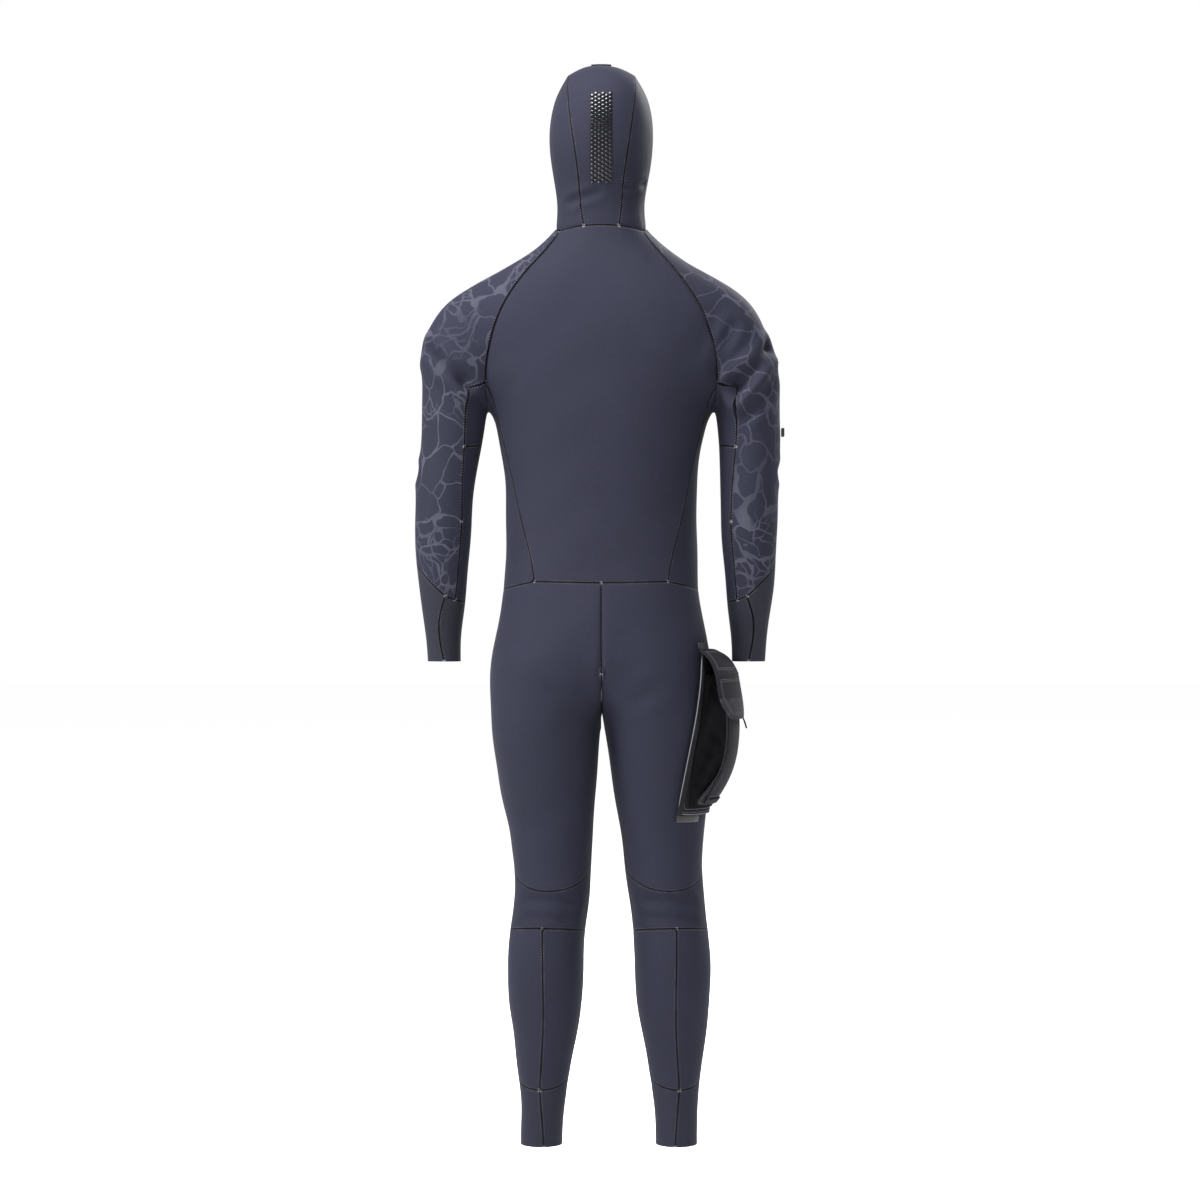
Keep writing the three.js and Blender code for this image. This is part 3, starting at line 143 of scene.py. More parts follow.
def tinted(tree, factor, plain, other):
    made = tree.nodes.new("ShaderNodeMix")
    made.data_type = "RGBA"
    for index, value in ((0, factor), (6, plain), (7, other)):
        if isinstance(value, bpy.types.NodeSocket):
            tree.links.new(value, made.inputs[index])
        else:
            made.inputs[index].default_value = value
    return made.outputs[2]


def scaled(tree, colour, amount):
    made = add(tree, "VectorMath", {"operation": "SCALE"}, Scale=amount)
    if isinstance(colour, bpy.types.NodeSocket):
        tree.links.new(colour, made.inputs[0])
    else:
        made.inputs[0].default_value = colour[:3]
    return made.outputs[0]


def noise(tree, where, scale, detail=3.0, rough=0.5):
    return add(tree, "TexNoise", Vector=where, Scale=scale, Detail=detail, Roughness=rough).outputs["Fac"]


# The crackle print: pale lines between rounded cells, wider where lines meet, unevenly inked.
DRIFT = (0.060, 0.060, 0.060)
CURL = (0.020, 0.020, 0.020)
LARGE_CELLS, LARGE_LINE = 20.0, 0.058
SMALL_CELLS, SMALL_LINE = 37.0, 0.075


def crackle(tree, where):
    drift = add(tree, "TexNoise", Vector=where, Scale=14.0, Detail=1.0).outputs["Color"]
    centred = add(tree, "VectorMath", {"operation": "SUBTRACT"})
    tree.links.new(drift, centred.inputs[0])
    centred.inputs[1].default_value = (0.5, 0.5, 0.5)
    moved = add(tree, "VectorMath", {"operation": "MULTIPLY_ADD"})
    tree.links.new(centred.outputs[0], moved.inputs[0])
    moved.inputs[1].default_value = DRIFT
    tree.links.new(where, moved.inputs[2])
    curl = add(tree, "TexNoise", Vector=where, Scale=38.0, Detail=1.5).outputs["Color"]
    bent = add(tree, "VectorMath", {"operation": "MULTIPLY_ADD"})
    tree.links.new(curl, bent.inputs[0])
    bent.inputs[1].default_value = CURL
    tree.links.new(moved.outputs[0], bent.inputs[2])

    def net(scale, width):
        first = add(tree, "TexVoronoi", {"feature": "F1"}, Vector=bent.outputs[0], Scale=scale)
        second = add(tree, "TexVoronoi", {"feature": "F2"}, Vector=bent.outputs[0], Scale=scale)
        gap = calc(tree, "SUBTRACT", second.outputs["Distance"], first.outputs["Distance"])
        return between(tree, gap, 0.6 * width, width, 1.0, 0.0)

    ink = between(tree, noise(tree, where, 11.0, 2.0), 0.36, 0.6, 0.5, 1.0)
    patches = between(tree, noise(tree, where, 7.0, 1.0), 0.5, 0.56, 0.0, 0.8)
    small = calc(tree, "MULTIPLY", net(SMALL_CELLS, SMALL_LINE), patches)
    both = calc(tree, "MAXIMUM", net(LARGE_CELLS, LARGE_LINE), small)
    return calc(tree, "MULTIPLY", both, ink)


# Knit-faced foam rubber. The "seam" attribute holds how far a point is from its panel's edge, how
# far along that edge, and how far from a panel's corner, in metres.
# print_ink is the colour of the print. rows are lines of hem stitches at set distances from the
# edge, in place of the butted seam. rim is the colour of a bound edge. mottle is a height and
# the colour of the flecked patch below it.
# The next colour is painted shade: it darkens the sunken band of each seam and the dimple of each stitch row.
# The one after it is painted shade too, and fills the groove of each seam.
PAINTED_SHADE = (0.002, 0.002, 0.003, 1)
GROOVE_PAINTED_SHADE = (0.0005, 0.0005, 0.0008, 1)
SEAM_THREAD = (0.052, 0.052, 0.064, 1)
HEM_THREAD = (0.050, 0.050, 0.058, 1)
TACK_THREAD = (0.10, 0.10, 0.12, 1)
GROOVE_EDGE = (0.0008, 0.0013)
BAND_EDGE = (0.0026, 0.0032)
TACK_EDGE = (0.0022, 0.0032)
SEAM_STITCHES = 230.0
SEAM_SLANT = 150.0
HEM_STITCHES = 240.0


def with_mottle(tree, face, where, low_end, colour):
    level = add(tree, "SeparateXYZ", Vector=where).outputs["Z"]
    there = between(tree, level, low_end - 0.0015, low_end + 0.0015, 1.0, 0.0)
    spots = between(tree, noise(tree, where, 130.0, 4.0, 0.7), 0.42, 0.6, 0.35, 1.0)
    return tinted(tree, calc(tree, "MULTIPLY", there, spots), face, (*colour, 1))


def with_hem_row(tree, face, height, away, along, row):
    near = calc(tree, "ABSOLUTE", calc(tree, "SUBTRACT", away, row))
    turn = calc(tree, "FRACT", calc(tree, "MULTIPLY", along, HEM_STITCHES))
    dash = calc(tree, "ABSOLUTE", calc(tree, "SUBTRACT", turn, 0.5))
    in_row = between(tree, near, 0.0004, 0.0008, 1.0, 0.0)
    stitch = calc(tree, "MULTIPLY", in_row, between(tree, dash, 0.3, 0.38, 1.0, 0.0))
    dimple = between(tree, near, 0.0006, 0.0022, 1.0, 0.0)
    # Painted shade: the dimple that the stitch row pulls in is painted darker.
    face = tinted(tree, calc(tree, "MULTIPLY", dimple, 0.5), face, PAINTED_SHADE)
    face = tinted(tree, stitch, face, HEM_THREAD)
    height = calc(tree, "SUBTRACT", height, calc(tree, "MULTIPLY", dimple, 0.8))
    height = calc(tree, "ADD", height, calc(tree, "MULTIPLY", stitch, 0.5))
    return face, height


# The butted seam: a groove painted near black as painted shade, the sunken band beside it painted darker as
# painted shade, a ladder of slanted stitches beside it, and a bar tack at each corner.
def with_seam(tree, face, height, where, away, along, corner):
    band = between(tree, away, *BAND_EDGE, 1.0, 0.0)
    groove = between(tree, away, *GROOVE_EDGE, 1.0, 0.0)
    slant = calc(tree, "ADD", calc(tree, "MULTIPLY", along, SEAM_STITCHES),
                 calc(tree, "MULTIPLY", away, SEAM_SLANT))
    swing = calc(tree, "ABSOLUTE", calc(tree, "SUBTRACT", calc(tree, "FRACT", slant), 0.5))
    thread = between(tree, swing, 0.10, 0.18, 1.0, 0.0)
    inside = calc(tree, "MULTIPLY", band, calc(tree, "SUBTRACT", 1.0, groove))
    thread = calc(tree, "MULTIPLY", thread, inside)
    worn = between(tree, noise(tree, where, 60.0, 2.0), 0.35, 0.7, 0.35, 1.0)
    at_corner = between(tree, corner, *TACK_EDGE, 1.0, 0.0)
    tack = calc(tree, "MULTIPLY", at_corner, between(tree, away, 0.0004, 0.0008))
    # Painted shade: the sunken band of the seam is painted darker.
    face = tinted(tree, calc(tree, "MULTIPLY", band, 0.4), face, PAINTED_SHADE)
    face = tinted(tree, calc(tree, "MULTIPLY", thread, worn), face, SEAM_THREAD)
    # Painted shade: the groove between the panels is painted near black.
    face = tinted(tree, groove, face, GROOVE_PAINTED_SHADE)
    face = tinted(tree, tack, face, TACK_THREAD)
    height = calc(tree, "ADD", height, calc(tree, "MULTIPLY", tack, 0.5))
    height = calc(tree, "ADD", height, calc(tree, "MULTIPLY", thread, 0.35))
    height = calc(tree, "SUBTRACT", height, calc(tree, "MULTIPLY", band, 0.30))
    height = calc(tree, "SUBTRACT", height, calc(tree, "MULTIPLY", groove, 0.5))
    return face, height


def neoprene(name, colour, print_ink=None, rough=0.74, grain=1.0, rows=(), rim=None, mottle=None):
    material = bpy.data.materials.new(name)
    material.use_nodes = True
    tree = material.node_tree
    shader = tree.nodes["Principled BSDF"]
    where = add(tree, "TexCoord").outputs["Object"]
    tone = between(tree, noise(tree, where, 4.5, 4.0), 0.25, 0.75, 0.9, 1.1)
    heather = between(tree, noise(tree, where, 620.0, 3.0, 0.7), 0.25, 0.75, 0.84, 1.16)
    face = scaled(tree, scaled(tree, colour, tone), heather)
    knit = add(tree, "TexVoronoi", {"feature": "F1"}, Vector=where, Scale=820.0).outputs["Distance"]
    height = calc(tree, "MULTIPLY", knit, 0.11 * grain)
    height = calc(tree, "ADD", height, calc(tree, "MULTIPLY", noise(tree, where, 160.0, 3.0), 0.22 * grain))
    if print_ink:
        printed = crackle(tree, where)
        face = tinted(tree, printed, face, (*print_ink, 1))
        height = calc(tree, "ADD", height, calc(tree, "MULTIPLY", printed, 0.12))
    edge = add(tree, "Attribute", {"attribute_name": "seam"})
    parts = add(tree, "SeparateXYZ", Vector=edge.outputs["Vector"])
    away, along, corner = (parts.outputs[axis] for axis in "XYZ")
    if mottle:
        face = with_mottle(tree, face, where, *mottle)
    for row in rows:
        face, height = with_hem_row(tree, face, height, away, along, row)
    if rim:
        face = tinted(tree, between(tree, away, 0.0010, 0.0016, 1.0, 0.0), face, (*rim, 1))
    if not rows:
        face, height = with_seam(tree, face, height, where, away, along, corner)
    tree.links.new(face, shader.inputs["Base Color"])
    tree.links.new(between(tree, tone, 0.9, 1.1, rough - 0.05, rough + 0.06), shader.inputs["Roughness"])
    shader.inputs["Specular IOR Level"].default_value = 0.05
    shader.inputs["Sheen Weight"].default_value = 0.012
    shader.inputs["Sheen Roughness"].default_value = 0.45
    shader.inputs["Sheen Tint"].default_value = (0.75, 0.77, 0.95, 1)
    bump = add(tree, "Bump", Height=height, Distance=0.001, Strength=0.75)
    tree.links.new(bump.outputs["Normal"], shader.inputs["Normal"])
    return material


def select_only(*pieces):
    bpy.ops.object.select_all(action="DESELECT")
    for piece in pieces:
        piece.select_set(True)
    bpy.context.view_layer.objects.active = pieces[0]


def copy_of(name, *sources):
    copies = []
    for source in sources:
        piece = bpy.data.objects.new(name, nodes[source].data.copy())
        piece.data.materials.clear()
        bpy.context.collection.objects.link(piece)
        copies.append(piece)
    select_only(*copies)
    if len(copies) > 1:
        bpy.ops.object.join()
    piece = bpy.context.object
    if piece.data.has_custom_normals:
        bpy.ops.mesh.customdata_custom_splitnormals_clear()
    bpy.ops.object.mode_set(mode="EDIT")
    bpy.ops.mesh.select_all(action="SELECT")
    bpy.ops.mesh.remove_doubles(threshold=0.00002)
    bpy.ops.object.mode_set(mode="OBJECT")
    piece.name = name
    return piece


# Keeps the larger, outer face of each closed sheet in the mesh, as one open skin. The hood's side
# panels turn sharply at their lower front corners, and take a wider limit.
STEEP = "hood_side"
STEEP_LIMIT = math.radians(70)
EDGE_LIMIT = math.radians(52)


def keep_outer_face(piece, source=""):
    sharp = STEEP_LIMIT if source.startswith(STEEP) else EDGE_LIMIT
    mesh = bmesh.new()
    mesh.from_mesh(piece.data)
    left = set(mesh.faces)
    islands = []
    while left:
        start = left.pop()
        region, edge_of_region = [start], [start]
        while edge_of_region:
            face = edge_of_region.pop()
            for edge in face.edges:
                for other in edge.link_faces:
                    if other in left and edge.calc_face_angle(4.0) < sharp:
                        left.remove(other)
                        region.append(other)
                        edge_of_region.append(other)
        islands.append(region)
    # Which sheet a region belongs to is told by walking over every edge.
    label = {}
    for index, face in enumerate(mesh.faces):
        if face in label:
            continue
        walk = [face]
        label[face] = index
        while walk:
            for edge in walk.pop().edges:
                for other in edge.link_faces:
                    if other not in label:
                        label[other] = index
                        walk.append(other)
    best = {}
    for region in islands:
        sheet = label[region[0]]
        area = sum(face.calc_area() for face in region)
        if area > best.get(sheet, (0, None))[0]:
            best[sheet] = (area, region)
    keep = {face for _, region in best.values() for face in region}
    bmesh.ops.delete(mesh, geom=[face for face in mesh.faces if face not in keep], context="FACES")
    mesh.to_mesh(piece.data)
    mesh.free()


def apply(piece, kind, **settings):
    select_only(piece)
    modifier = piece.modifiers.new(kind.lower(), kind)
    for key, value in settings.items():
        setattr(modifier, key, value)
    bpy.ops.object.modifier_apply(modifier=modifier.name)


# Soft creases of the worn suit, one for each line: its two ends, half width and depth, in metres.
# They run out past their ends by a share of their length, and stand up in a lip along both sides.
RUN_OUT = 0.3
LIP_PLACE = 2.1
LIP_SHARE = 0.45
DEPTH_SHARE = 2.0
CREASES = [
    ((0.263, -0.030, 1.268), (0.188, -0.078, 1.178), 0.010, 0.0085),
    ((0.246, -0.060, 1.232), (0.184, -0.072, 1.150), 0.008, 0.0046),
    ((0.270, -0.040, 1.216), (0.228, -0.066, 1.150), 0.009, 0.0022),
    ((0.212, -0.075, 1.300), (0.172, -0.092, 1.222), 0.009, 0.0042),
    ((-0.268, -0.040, 1.262), (-0.200, -0.070, 1.204), 0.009, 0.0056),
    ((-0.262, -0.050, 1.238), (-0.190, -0.072, 1.186), 0.008, 0.0030),
    ((-0.240, -0.070, 1.285), (-0.186, -0.090, 1.225), 0.009, 0.0026),
    ((0.262, -0.020, 1.262), (0.196, 0.050, 1.172), 0.010, 0.0048),
    ((-0.266, -0.020, 1.260), (-0.196, 0.050, 1.172), 0.010, 0.0048),
    ((0.150, -0.100, 1.236), (0.186, -0.070, 1.186), 0.008, 0.0022),
    ((-0.150, -0.100, 1.236), (-0.186, -0.070, 1.186), 0.008, 0.0022),
    ((0.285, -0.012, 1.072), (0.212, 0.040, 1.046), 0.009, 0.0026),
    ((0.280, 0.010, 1.040), (0.214, 0.038, 1.022), 0.008, 0.0022),
    ((-0.298, -0.012, 1.072), (-0.226, 0.040, 1.046), 0.009, 0.0026),
    ((-0.292, 0.010, 1.040), (-0.228, 0.038, 1.022), 0.008, 0.0022),
    ((0.052, -0.058, 0.392), (0.158, -0.058, 0.386), 0.009, 0.0020),
    ((0.056, -0.062, 0.368), (0.150, -0.062, 0.362), 0.008, 0.0016),
    ((-0.130, -0.058, 0.392), (-0.026, -0.058, 0.386), 0.009, 0.0020),
    ((-0.126, -0.062, 0.368), (-0.030, -0.062, 0.362), 0.008, 0.0016),
    ((-0.066, -0.050, 1.490), (-0.004, -0.070, 1.508), 0.006, 0.0016),
    ((0.036, -0.062, 1.517), (0.070, -0.030, 1.526), 0.005, 0.0022),
    ((0.020, -0.120, 0.690), (0.090, -0.128, 0.728), 0.012, 0.0018),
    ((-0.020, -0.120, 0.690), (-0.084, -0.128, 0.728), 0.012, 0.0018),
]


def crease(point):
    total = 0.0
    for start, end, width, depth in CREASES:
        start, end = Vector(start), Vector(end)
        line = end - start
        t = (point - start).dot(line) / line.length_squared
        if t < -RUN_OUT or t > 1 + RUN_OUT:
            continue
        away = (point - start - line * min(max(t, 0.0), 1.0)).length
        if away > 5 * width:
            continue
        fade = math.sin(math.pi * min(max((t + RUN_OUT) / (1 + 2 * RUN_OUT), 0.0), 1.0))
        dip = math.exp(-((away / width) ** 2))
        lip = math.exp(-(((away - LIP_PLACE * width) / width) ** 2))
        total += depth * fade * (LIP_SHARE * lip - dip)
    return DEPTH_SHARE * total


# The slight unevenness of hanging sheet, up to 1.1 mm.
def waves(point):
    broad = math.sin(point.x * 31 + math.sin(point.z * 17)) * math.sin(point.z * 23 + 1.3)
    return 0.0007 * broad + 0.0004 * math.sin(point.z * 57 + 3 * math.sin(point.x * 24 + point.y * 13))


# Where the worn suit stands fuller than its pattern: middle, reach and height, in metres.
PUFFS = [
    ((-0.285, -0.020, 1.285), 0.070, 0.0150),
    ((-0.262, -0.060, 1.345), 0.050, 0.0060),
    ((0.250, -0.060, 1.330), 0.045, 0.0050),
    ((0.268, -0.030, 1.215), 0.035, 0.0050),
]


def puff(point):
    total = 0.0
    for middle, reach, height in PUFFS:
        total += height * math.exp(-((point - Vector(middle)).length / reach) ** 2)
    return total


# Every point where some sewn panel has a corner. The seam is kept pointed there in all the
# panels that share it, so that their edges stay together.
SEWN = ("back_panel", "side_panel", "chest_panel", "sleeve_", "inner_sleeve", "forearm_cuff", "thigh_",
        "knee_", "calf_", "shin_", "ankle_cuff", "hood_back", "hood_side", "throat")
CORNER_REACH = 0.0018
CORNER_LIMIT = math.radians(140)
corner_points = []
for source in nodes:
    if not source.startswith(SEWN):
        continue
    scan = copy_of("scan", source)
    keep_outer_face(scan, source)
    mesh = bmesh.new()
    mesh.from_mesh(scan.data)
    for vert in mesh.verts:
        ways = [edge.other_vert(vert).co - vert.co for edge in vert.link_edges if edge.is_boundary]
        if len(ways) == 2 and ways[0].angle(ways[1]) < CORNER_LIMIT:
            corner_points.append(vert.co.copy())
    mesh.free()
    bpy.data.objects.remove(scan)
corner_tree = kdtree.KDTree(len(corner_points))
for index, point in enumerate(corner_points):
    corner_tree.insert(point, index)
corner_tree.balance()


# At the sides of the neck five panels meet in short edges, and there every point is held.
NECK_LOW, NECK_HIGH = 1.41, 1.53
NECK_SIDE = 0.045
NECK_BACK = -0.03


def held(point):
    at_neck = NECK_LOW < point.z < NECK_HIGH and abs(point.x) > NECK_SIDE and point.y > NECK_BACK
    return at_neck or corner_tree.find(point)[2] < CORNER_REACH


def hold_corners(piece):
    mesh = bmesh.new()
    mesh.from_mesh(piece.data)
    sharp = [1.0 if vert.is_boundary and held(vert.co) else 0.0 for vert in mesh.verts]
    mesh.free()
    hold = piece.data.attributes.new("crease_vert", "FLOAT", "POINT")
    hold.data.foreach_set("value", sharp)


# Lets the panel's edge out until it meets its neighbour. An edge on the middle seam is set on it.
HALF_GAP = 0.00034
MIDDLE_REACH = 0.0012


def let_out(piece):
    mesh = bmesh.new()
    mesh.from_mesh(piece.data)
    push = {}
    for edge in mesh.edges:
        if edge.is_boundary:
            face = edge.link_faces[0]
            out = face.normal.cross(edge.verts[1].co - edge.verts[0].co).normalized()
            if out.dot(edge.verts[0].co - face.calc_center_median()) < 0:
                out = -out
            for vert in edge.verts:
                push[vert] = push.get(vert, Vector()) + out
    for vert, way in push.items():
        vert.co += HALF_GAP * way * 2 / max(way.length_squared, 1.0)
        if abs(vert.co.x) < MIDDLE_REACH:
            vert.co.x *= 0.04
    mesh.to_mesh(piece.data)
    mesh.free()


# Both sides of the middle seam are moved straight back or forward there, so that it stays closed.
MIDDLE_BAND = 0.015


def outward(vertex):
    share = min(1.0, abs(vertex.co.x) / MIDDLE_BAND)
    return Vector((vertex.normal.x * share, vertex.normal.y, vertex.normal.z))


# The points of each open edge of the piece, in order along it.
def open_loops(piece):
    mesh = bmesh.new()
    mesh.from_mesh(piece.data)
    rim = {edge for edge in mesh.edges if edge.is_boundary}
    loops = []
    while rim:
        edge = rim.pop()
        line = [edge.verts[0].co.copy(), edge.verts[1].co.copy()]
        vert = edge.verts[1]
        while True:
            following = next((e for e in vert.link_edges if e in rim), None)
            if following is None:
                break
            rim.remove(following)
            vert = following.other_vert(vert)
            line.append(vert.co.copy())
        loops.append(line)
    mesh.free()
    return loops


# Writes how far each point is from the panel's sewn edge, how far along that edge, and how far
# from a corner.
SAMPLE_STEP = 0.0006


def mark_seams(piece, loops, unsewn):
    samples = []
    for line in loops:
        along = 0.0
        for a, b in zip(line, line[1:]):
            length = (b - a).length
            steps = max(1, int(length / SAMPLE_STEP))
            for i in range(steps):
                point = a.lerp(b, i / steps)
                if not (unsewn and unsewn(point)):
                    samples.append((point, along + length * i / steps))
            along += length
    tree = kdtree.KDTree(len(samples))
    for index, (point, _) in enumerate(samples):
        tree.insert(point, index)
    tree.balance()
    values = []
    for vertex in piece.data.vertices:
        _, index, away = tree.find(vertex.co)
        values.extend((away, samples[index][1], corner_tree.find(vertex.co)[2]))
    seam = piece.data.attributes.new("seam", "FLOAT_VECTOR", "POINT")
    seam.data.foreach_set("vector", values)


# One panel, from the skin of its CAD nodes to a smooth sheet with rounded edges. unsewn tells
# the points of its edge that have no seam.
PANEL_DETAIL = 3
WELD = 0.0012
EDGE_ROUND = 0.0005


def panel(name, sources, material, thick=SHEET, unsewn=None, folds=True):
    piece = copy_of(name, *sources)
    keep_outer_face(piece, sources[0])
    select_only(piece)
    bpy.ops.object.mode_set(mode="EDIT")
    bpy.ops.mesh.select_all(action="SELECT")
    if len(sources) > 1:
        bpy.ops.mesh.remove_doubles(threshold=WELD)
    bpy.ops.mesh.tris_convert_to_quads(face_threshold=1.2, shape_threshold=1.2)
    bpy.ops.object.mode_set(mode="OBJECT")
    level = PANEL_DETAIL
    hold_corners(piece)
    apply(piece, "SUBSURF", levels=level, render_levels=level, boundary_smooth="ALL")
    if folds:
        mesh = piece.data
        moved = [v.co + outward(v) * (crease(v.co) + waves(v.co) + puff(v.co)) for v in mesh.vertices]
        for vertex, place in zip(mesh.vertices, moved):
            vertex.co = place
    let_out(piece)
    loops = open_loops(piece)
    apply(piece, "SOLIDIFY", thickness=thick, offset=-1.0, use_even_offset=False, use_rim=True)
    apply(piece, "BEVEL", width=EDGE_ROUND, segments=2, limit_method="ANGLE", angle_limit=math.radians(55))
    mark_seams(piece, loops, unsewn)
    select_only(piece)
    bpy.ops.object.shade_smooth_by_angle(angle=math.radians(60))
    piece.data.materials.append(material)
    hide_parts(*sources)
    return piece


knit = neoprene("knit_charcoal_blue", (0.0096, 0.0099, 0.0168))
back = panel("back", ["back_panel"], knit)
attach(back, "suit")


# ---- Side and chest panels ----
# The narrow side panels run from the waist to the armpits, and the two chest panels meet at the zip.
# The same sheet as the back, butted and stitched to it.
SIDES = ("right", "left")
for side in SIDES:
    for part in ("side", "chest"):
        piece = panel(f"{part}_{side}", [f"{part}_panel_{side}"], knit)
        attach(piece, "suit")


# ---- Outer sleeves ----
# Raglan sleeves in one piece from the neck to the forearm cuff, of sheet printed with a crackle
# net in pale ink. The three parts over the elbow are joined into one piece.
printed_knit = neoprene("printed_knit", (0.0100, 0.0104, 0.0175), print_ink=(0.0265, 0.0270, 0.0380))
for side, across in (("right", 0.235), ("left", -0.249)):
    piece = panel(f"sleeve_{side}", [f"sleeve_upper_{side}", f"sleeve_elbow_{side}", f"sleeve_lower_{side}"],
                  printed_knit)
    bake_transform(piece)


# ---- Inner sleeves ----
# Plain strips under the arm. The upper one ends in a cross seam at the elbow, and the lower
# one goes on to the cuff.
for side, across in (("right", 0.235), ("left", -0.249)):
    piece = panel(f"underarm_{side}", [f"inner_sleeve_upper_{side}"], knit)
    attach(piece, "suit")
    piece = panel(f"inner_forearm_{side}", [f"inner_sleeve_elbow_{side}", f"inner_sleeve_lower_{side}"], knit)
    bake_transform(piece)


# ---- Forearm cuffs ----
# Softer 3 mm cuffs that seal on the wrist, each one wrap of sheet closed by a seam behind the wrist.
# Their top edge climbs to a point on the outside of the arm.
WRIST_END = 0.768
CUFF_SHEET = 0.003
cuff_knit = neoprene("cuff_knit", (0.0112, 0.0114, 0.0165), rough=0.7)
for side in SIDES:
    piece = panel(f"wrist_cuff_{side}", [f"forearm_cuff_{side}"], cuff_knit, thick=CUFF_SHEET,
                  unsewn=lambda p: p.z < WRIST_END + 0.0015)
    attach(piece, f"forearm_{side}")


# ---- Thighs and seat ----
# Each leg has one back panel that reaches over the seat and one front panel. The seat seam runs
# down the middle, and the lower edges meet the knee panels.
for side, across in (("right", 0.104), ("left", -0.078)):
    for part in ("thigh_back", "thigh_front"):
        piece = panel(f"{part}_sheet_{side}", [f"{part}_{side}"], knit)
        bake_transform(piece)


# ---- Knees ----
# Behind the knee is a shaped band of stretchier sheet. In front is a pad faced with tough
# abrasion-proof knit, printed in small raised ribs, drawn here only as a coarser grain.
knee_knit = neoprene("knee_knit", (0.0085, 0.0088, 0.0150), grain=1.3)
pad_knit = neoprene("pad_knit", (0.0055, 0.0055, 0.0075), rough=0.62, grain=2.6)
for side, across in (("right", 0.104), ("left", -0.078)):
    for part, material in (("knee_back", knee_knit), ("knee_pad", pad_knit)):
        piece = panel(f"{part}_sheet_{side}", [f"{part}_{side}"], material)
        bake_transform(piece)


# ---- Calves and shins ----
# Two calf panels meet in a seam down the back of the leg, and one shin panel closes the front.
for side, across in (("right", 0.104), ("left", -0.078)):
    for part in ("calf_inner", "calf_outer", "shin_front"):
        piece = panel(f"{part}_sheet_{side}", [f"{part}_{side}"], knit)
        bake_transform(piece)


# ---- Ankle cuffs ----
# Plain cuffs that end in a cut edge, each one wrap of sheet closed by a seam behind the ankle.
ankle_knit = neoprene("ankle_knit", (0.0098, 0.0100, 0.0162))
for side in SIDES:
    piece = panel(f"ankle_sheet_{side}", [f"ankle_cuff_{side}"], ankle_knit, unsewn=lambda p: p.z < 0.0015)
    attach(piece, f"lower_leg_{side}")


# ---- Hood ----
# A centre strip from the nape over the crown to the brow, two side panels, and the throat panel
# that joins them to the chest. The face opening has no seam round it, only the glued face seal.
for name, source in (("hood_centre", "hood_back_panel"), ("hood_right", "hood_side_right"),
                     ("hood_left", "hood_side_left"), ("throat", "throat_panel")):
    piece = panel(name, [source], knit)
    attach(piece, "suit")


# ---- Face seal ----
# A thin ring of smooth-skin rubber glued inside the face opening, which lies flat on the face.
def rubber(name, colour, rough, pores=0.12, scale=240.0, coat=0.0, shine=0.25):
    material = bpy.data.materials.new(name)
    material.use_nodes = True
    tree = material.node_tree
    shader = tree.nodes["Principled BSDF"]
    where = add(tree, "TexCoord").outputs["Object"]
    tone = between(tree, noise(tree, where, 30.0, 4.0), 0.3, 0.7, 0.8, 1.2)
    tree.links.new(scaled(tree, colour, tone), shader.inputs["Base Color"])
    scuff = between(tree, noise(tree, where, 90.0, 5.0, 0.65), 0.45, 0.7, rough, rough + 0.14)
    tree.links.new(scuff, shader.inputs["Roughness"])
    shader.inputs["Specular IOR Level"].default_value = shine
    shader.inputs["Coat Weight"].default_value = coat
    shader.inputs["Coat Roughness"].default_value = 0.12
    height = calc(tree, "MULTIPLY", noise(tree, where, scale, 4.0, 0.6), pores)
    bump = add(tree, "Bump", Height=height, Distance=0.001, Strength=0.8)
    tree.links.new(bump.outputs["Normal"], shader.inputs["Normal"])
    return material


smooth_skin = rubber("smooth_skin", (0.012, 0.012, 0.015), 0.36, pores=0.10)
seal = panel("face_seal_ring", ["face_seal"], smooth_skin, thick=0.0028, folds=False)
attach(seal, "suit")


# ---- Drain dots ----
# A patch of small six-sided dots of glossy rubber printed on the back of the hood, in six
# staggered columns. They stand a millimetre proud of the knit.
DOT_COLUMNS = 6
COLUMN_PITCH = 0.0059
ROW_PITCH = 0.0067
DOT_RADIUS = 0.0031
DOT_HEIGHT = 0.0012
DOT_ROOT = 0.0006

bpy.ops.object.select_all(action="DESELECT")
bpy.ops.mesh.primitive_cylinder_add(vertices=6, radius=DOT_RADIUS, depth=DOT_HEIGHT + DOT_ROOT,
                                    location=(0, 0, 0))
dot = bpy.context.object
bpy.ops.object.mode_set(mode="EDIT")
bpy.ops.mesh.select_mode(type="FACE")
bpy.ops.mesh.select_all(action="DESELECT")
bpy.ops.object.mode_set(mode="OBJECT")
for face in dot.data.polygons:
    face.select = face.normal.z > 0.9
bpy.ops.object.mode_set(mode="EDIT")
bpy.ops.mesh.bevel(offset=0.0005, segments=2)
bpy.ops.mesh.select_all(action="DESELECT")
bpy.ops.object.mode_set(mode="OBJECT")
for face in dot.data.polygons:
    face.select = face.normal.z > 0.95
bpy.ops.object.mode_set(mode="EDIT")
bpy.ops.mesh.poke(offset=0.00025)
bpy.ops.object.mode_set(mode="OBJECT")

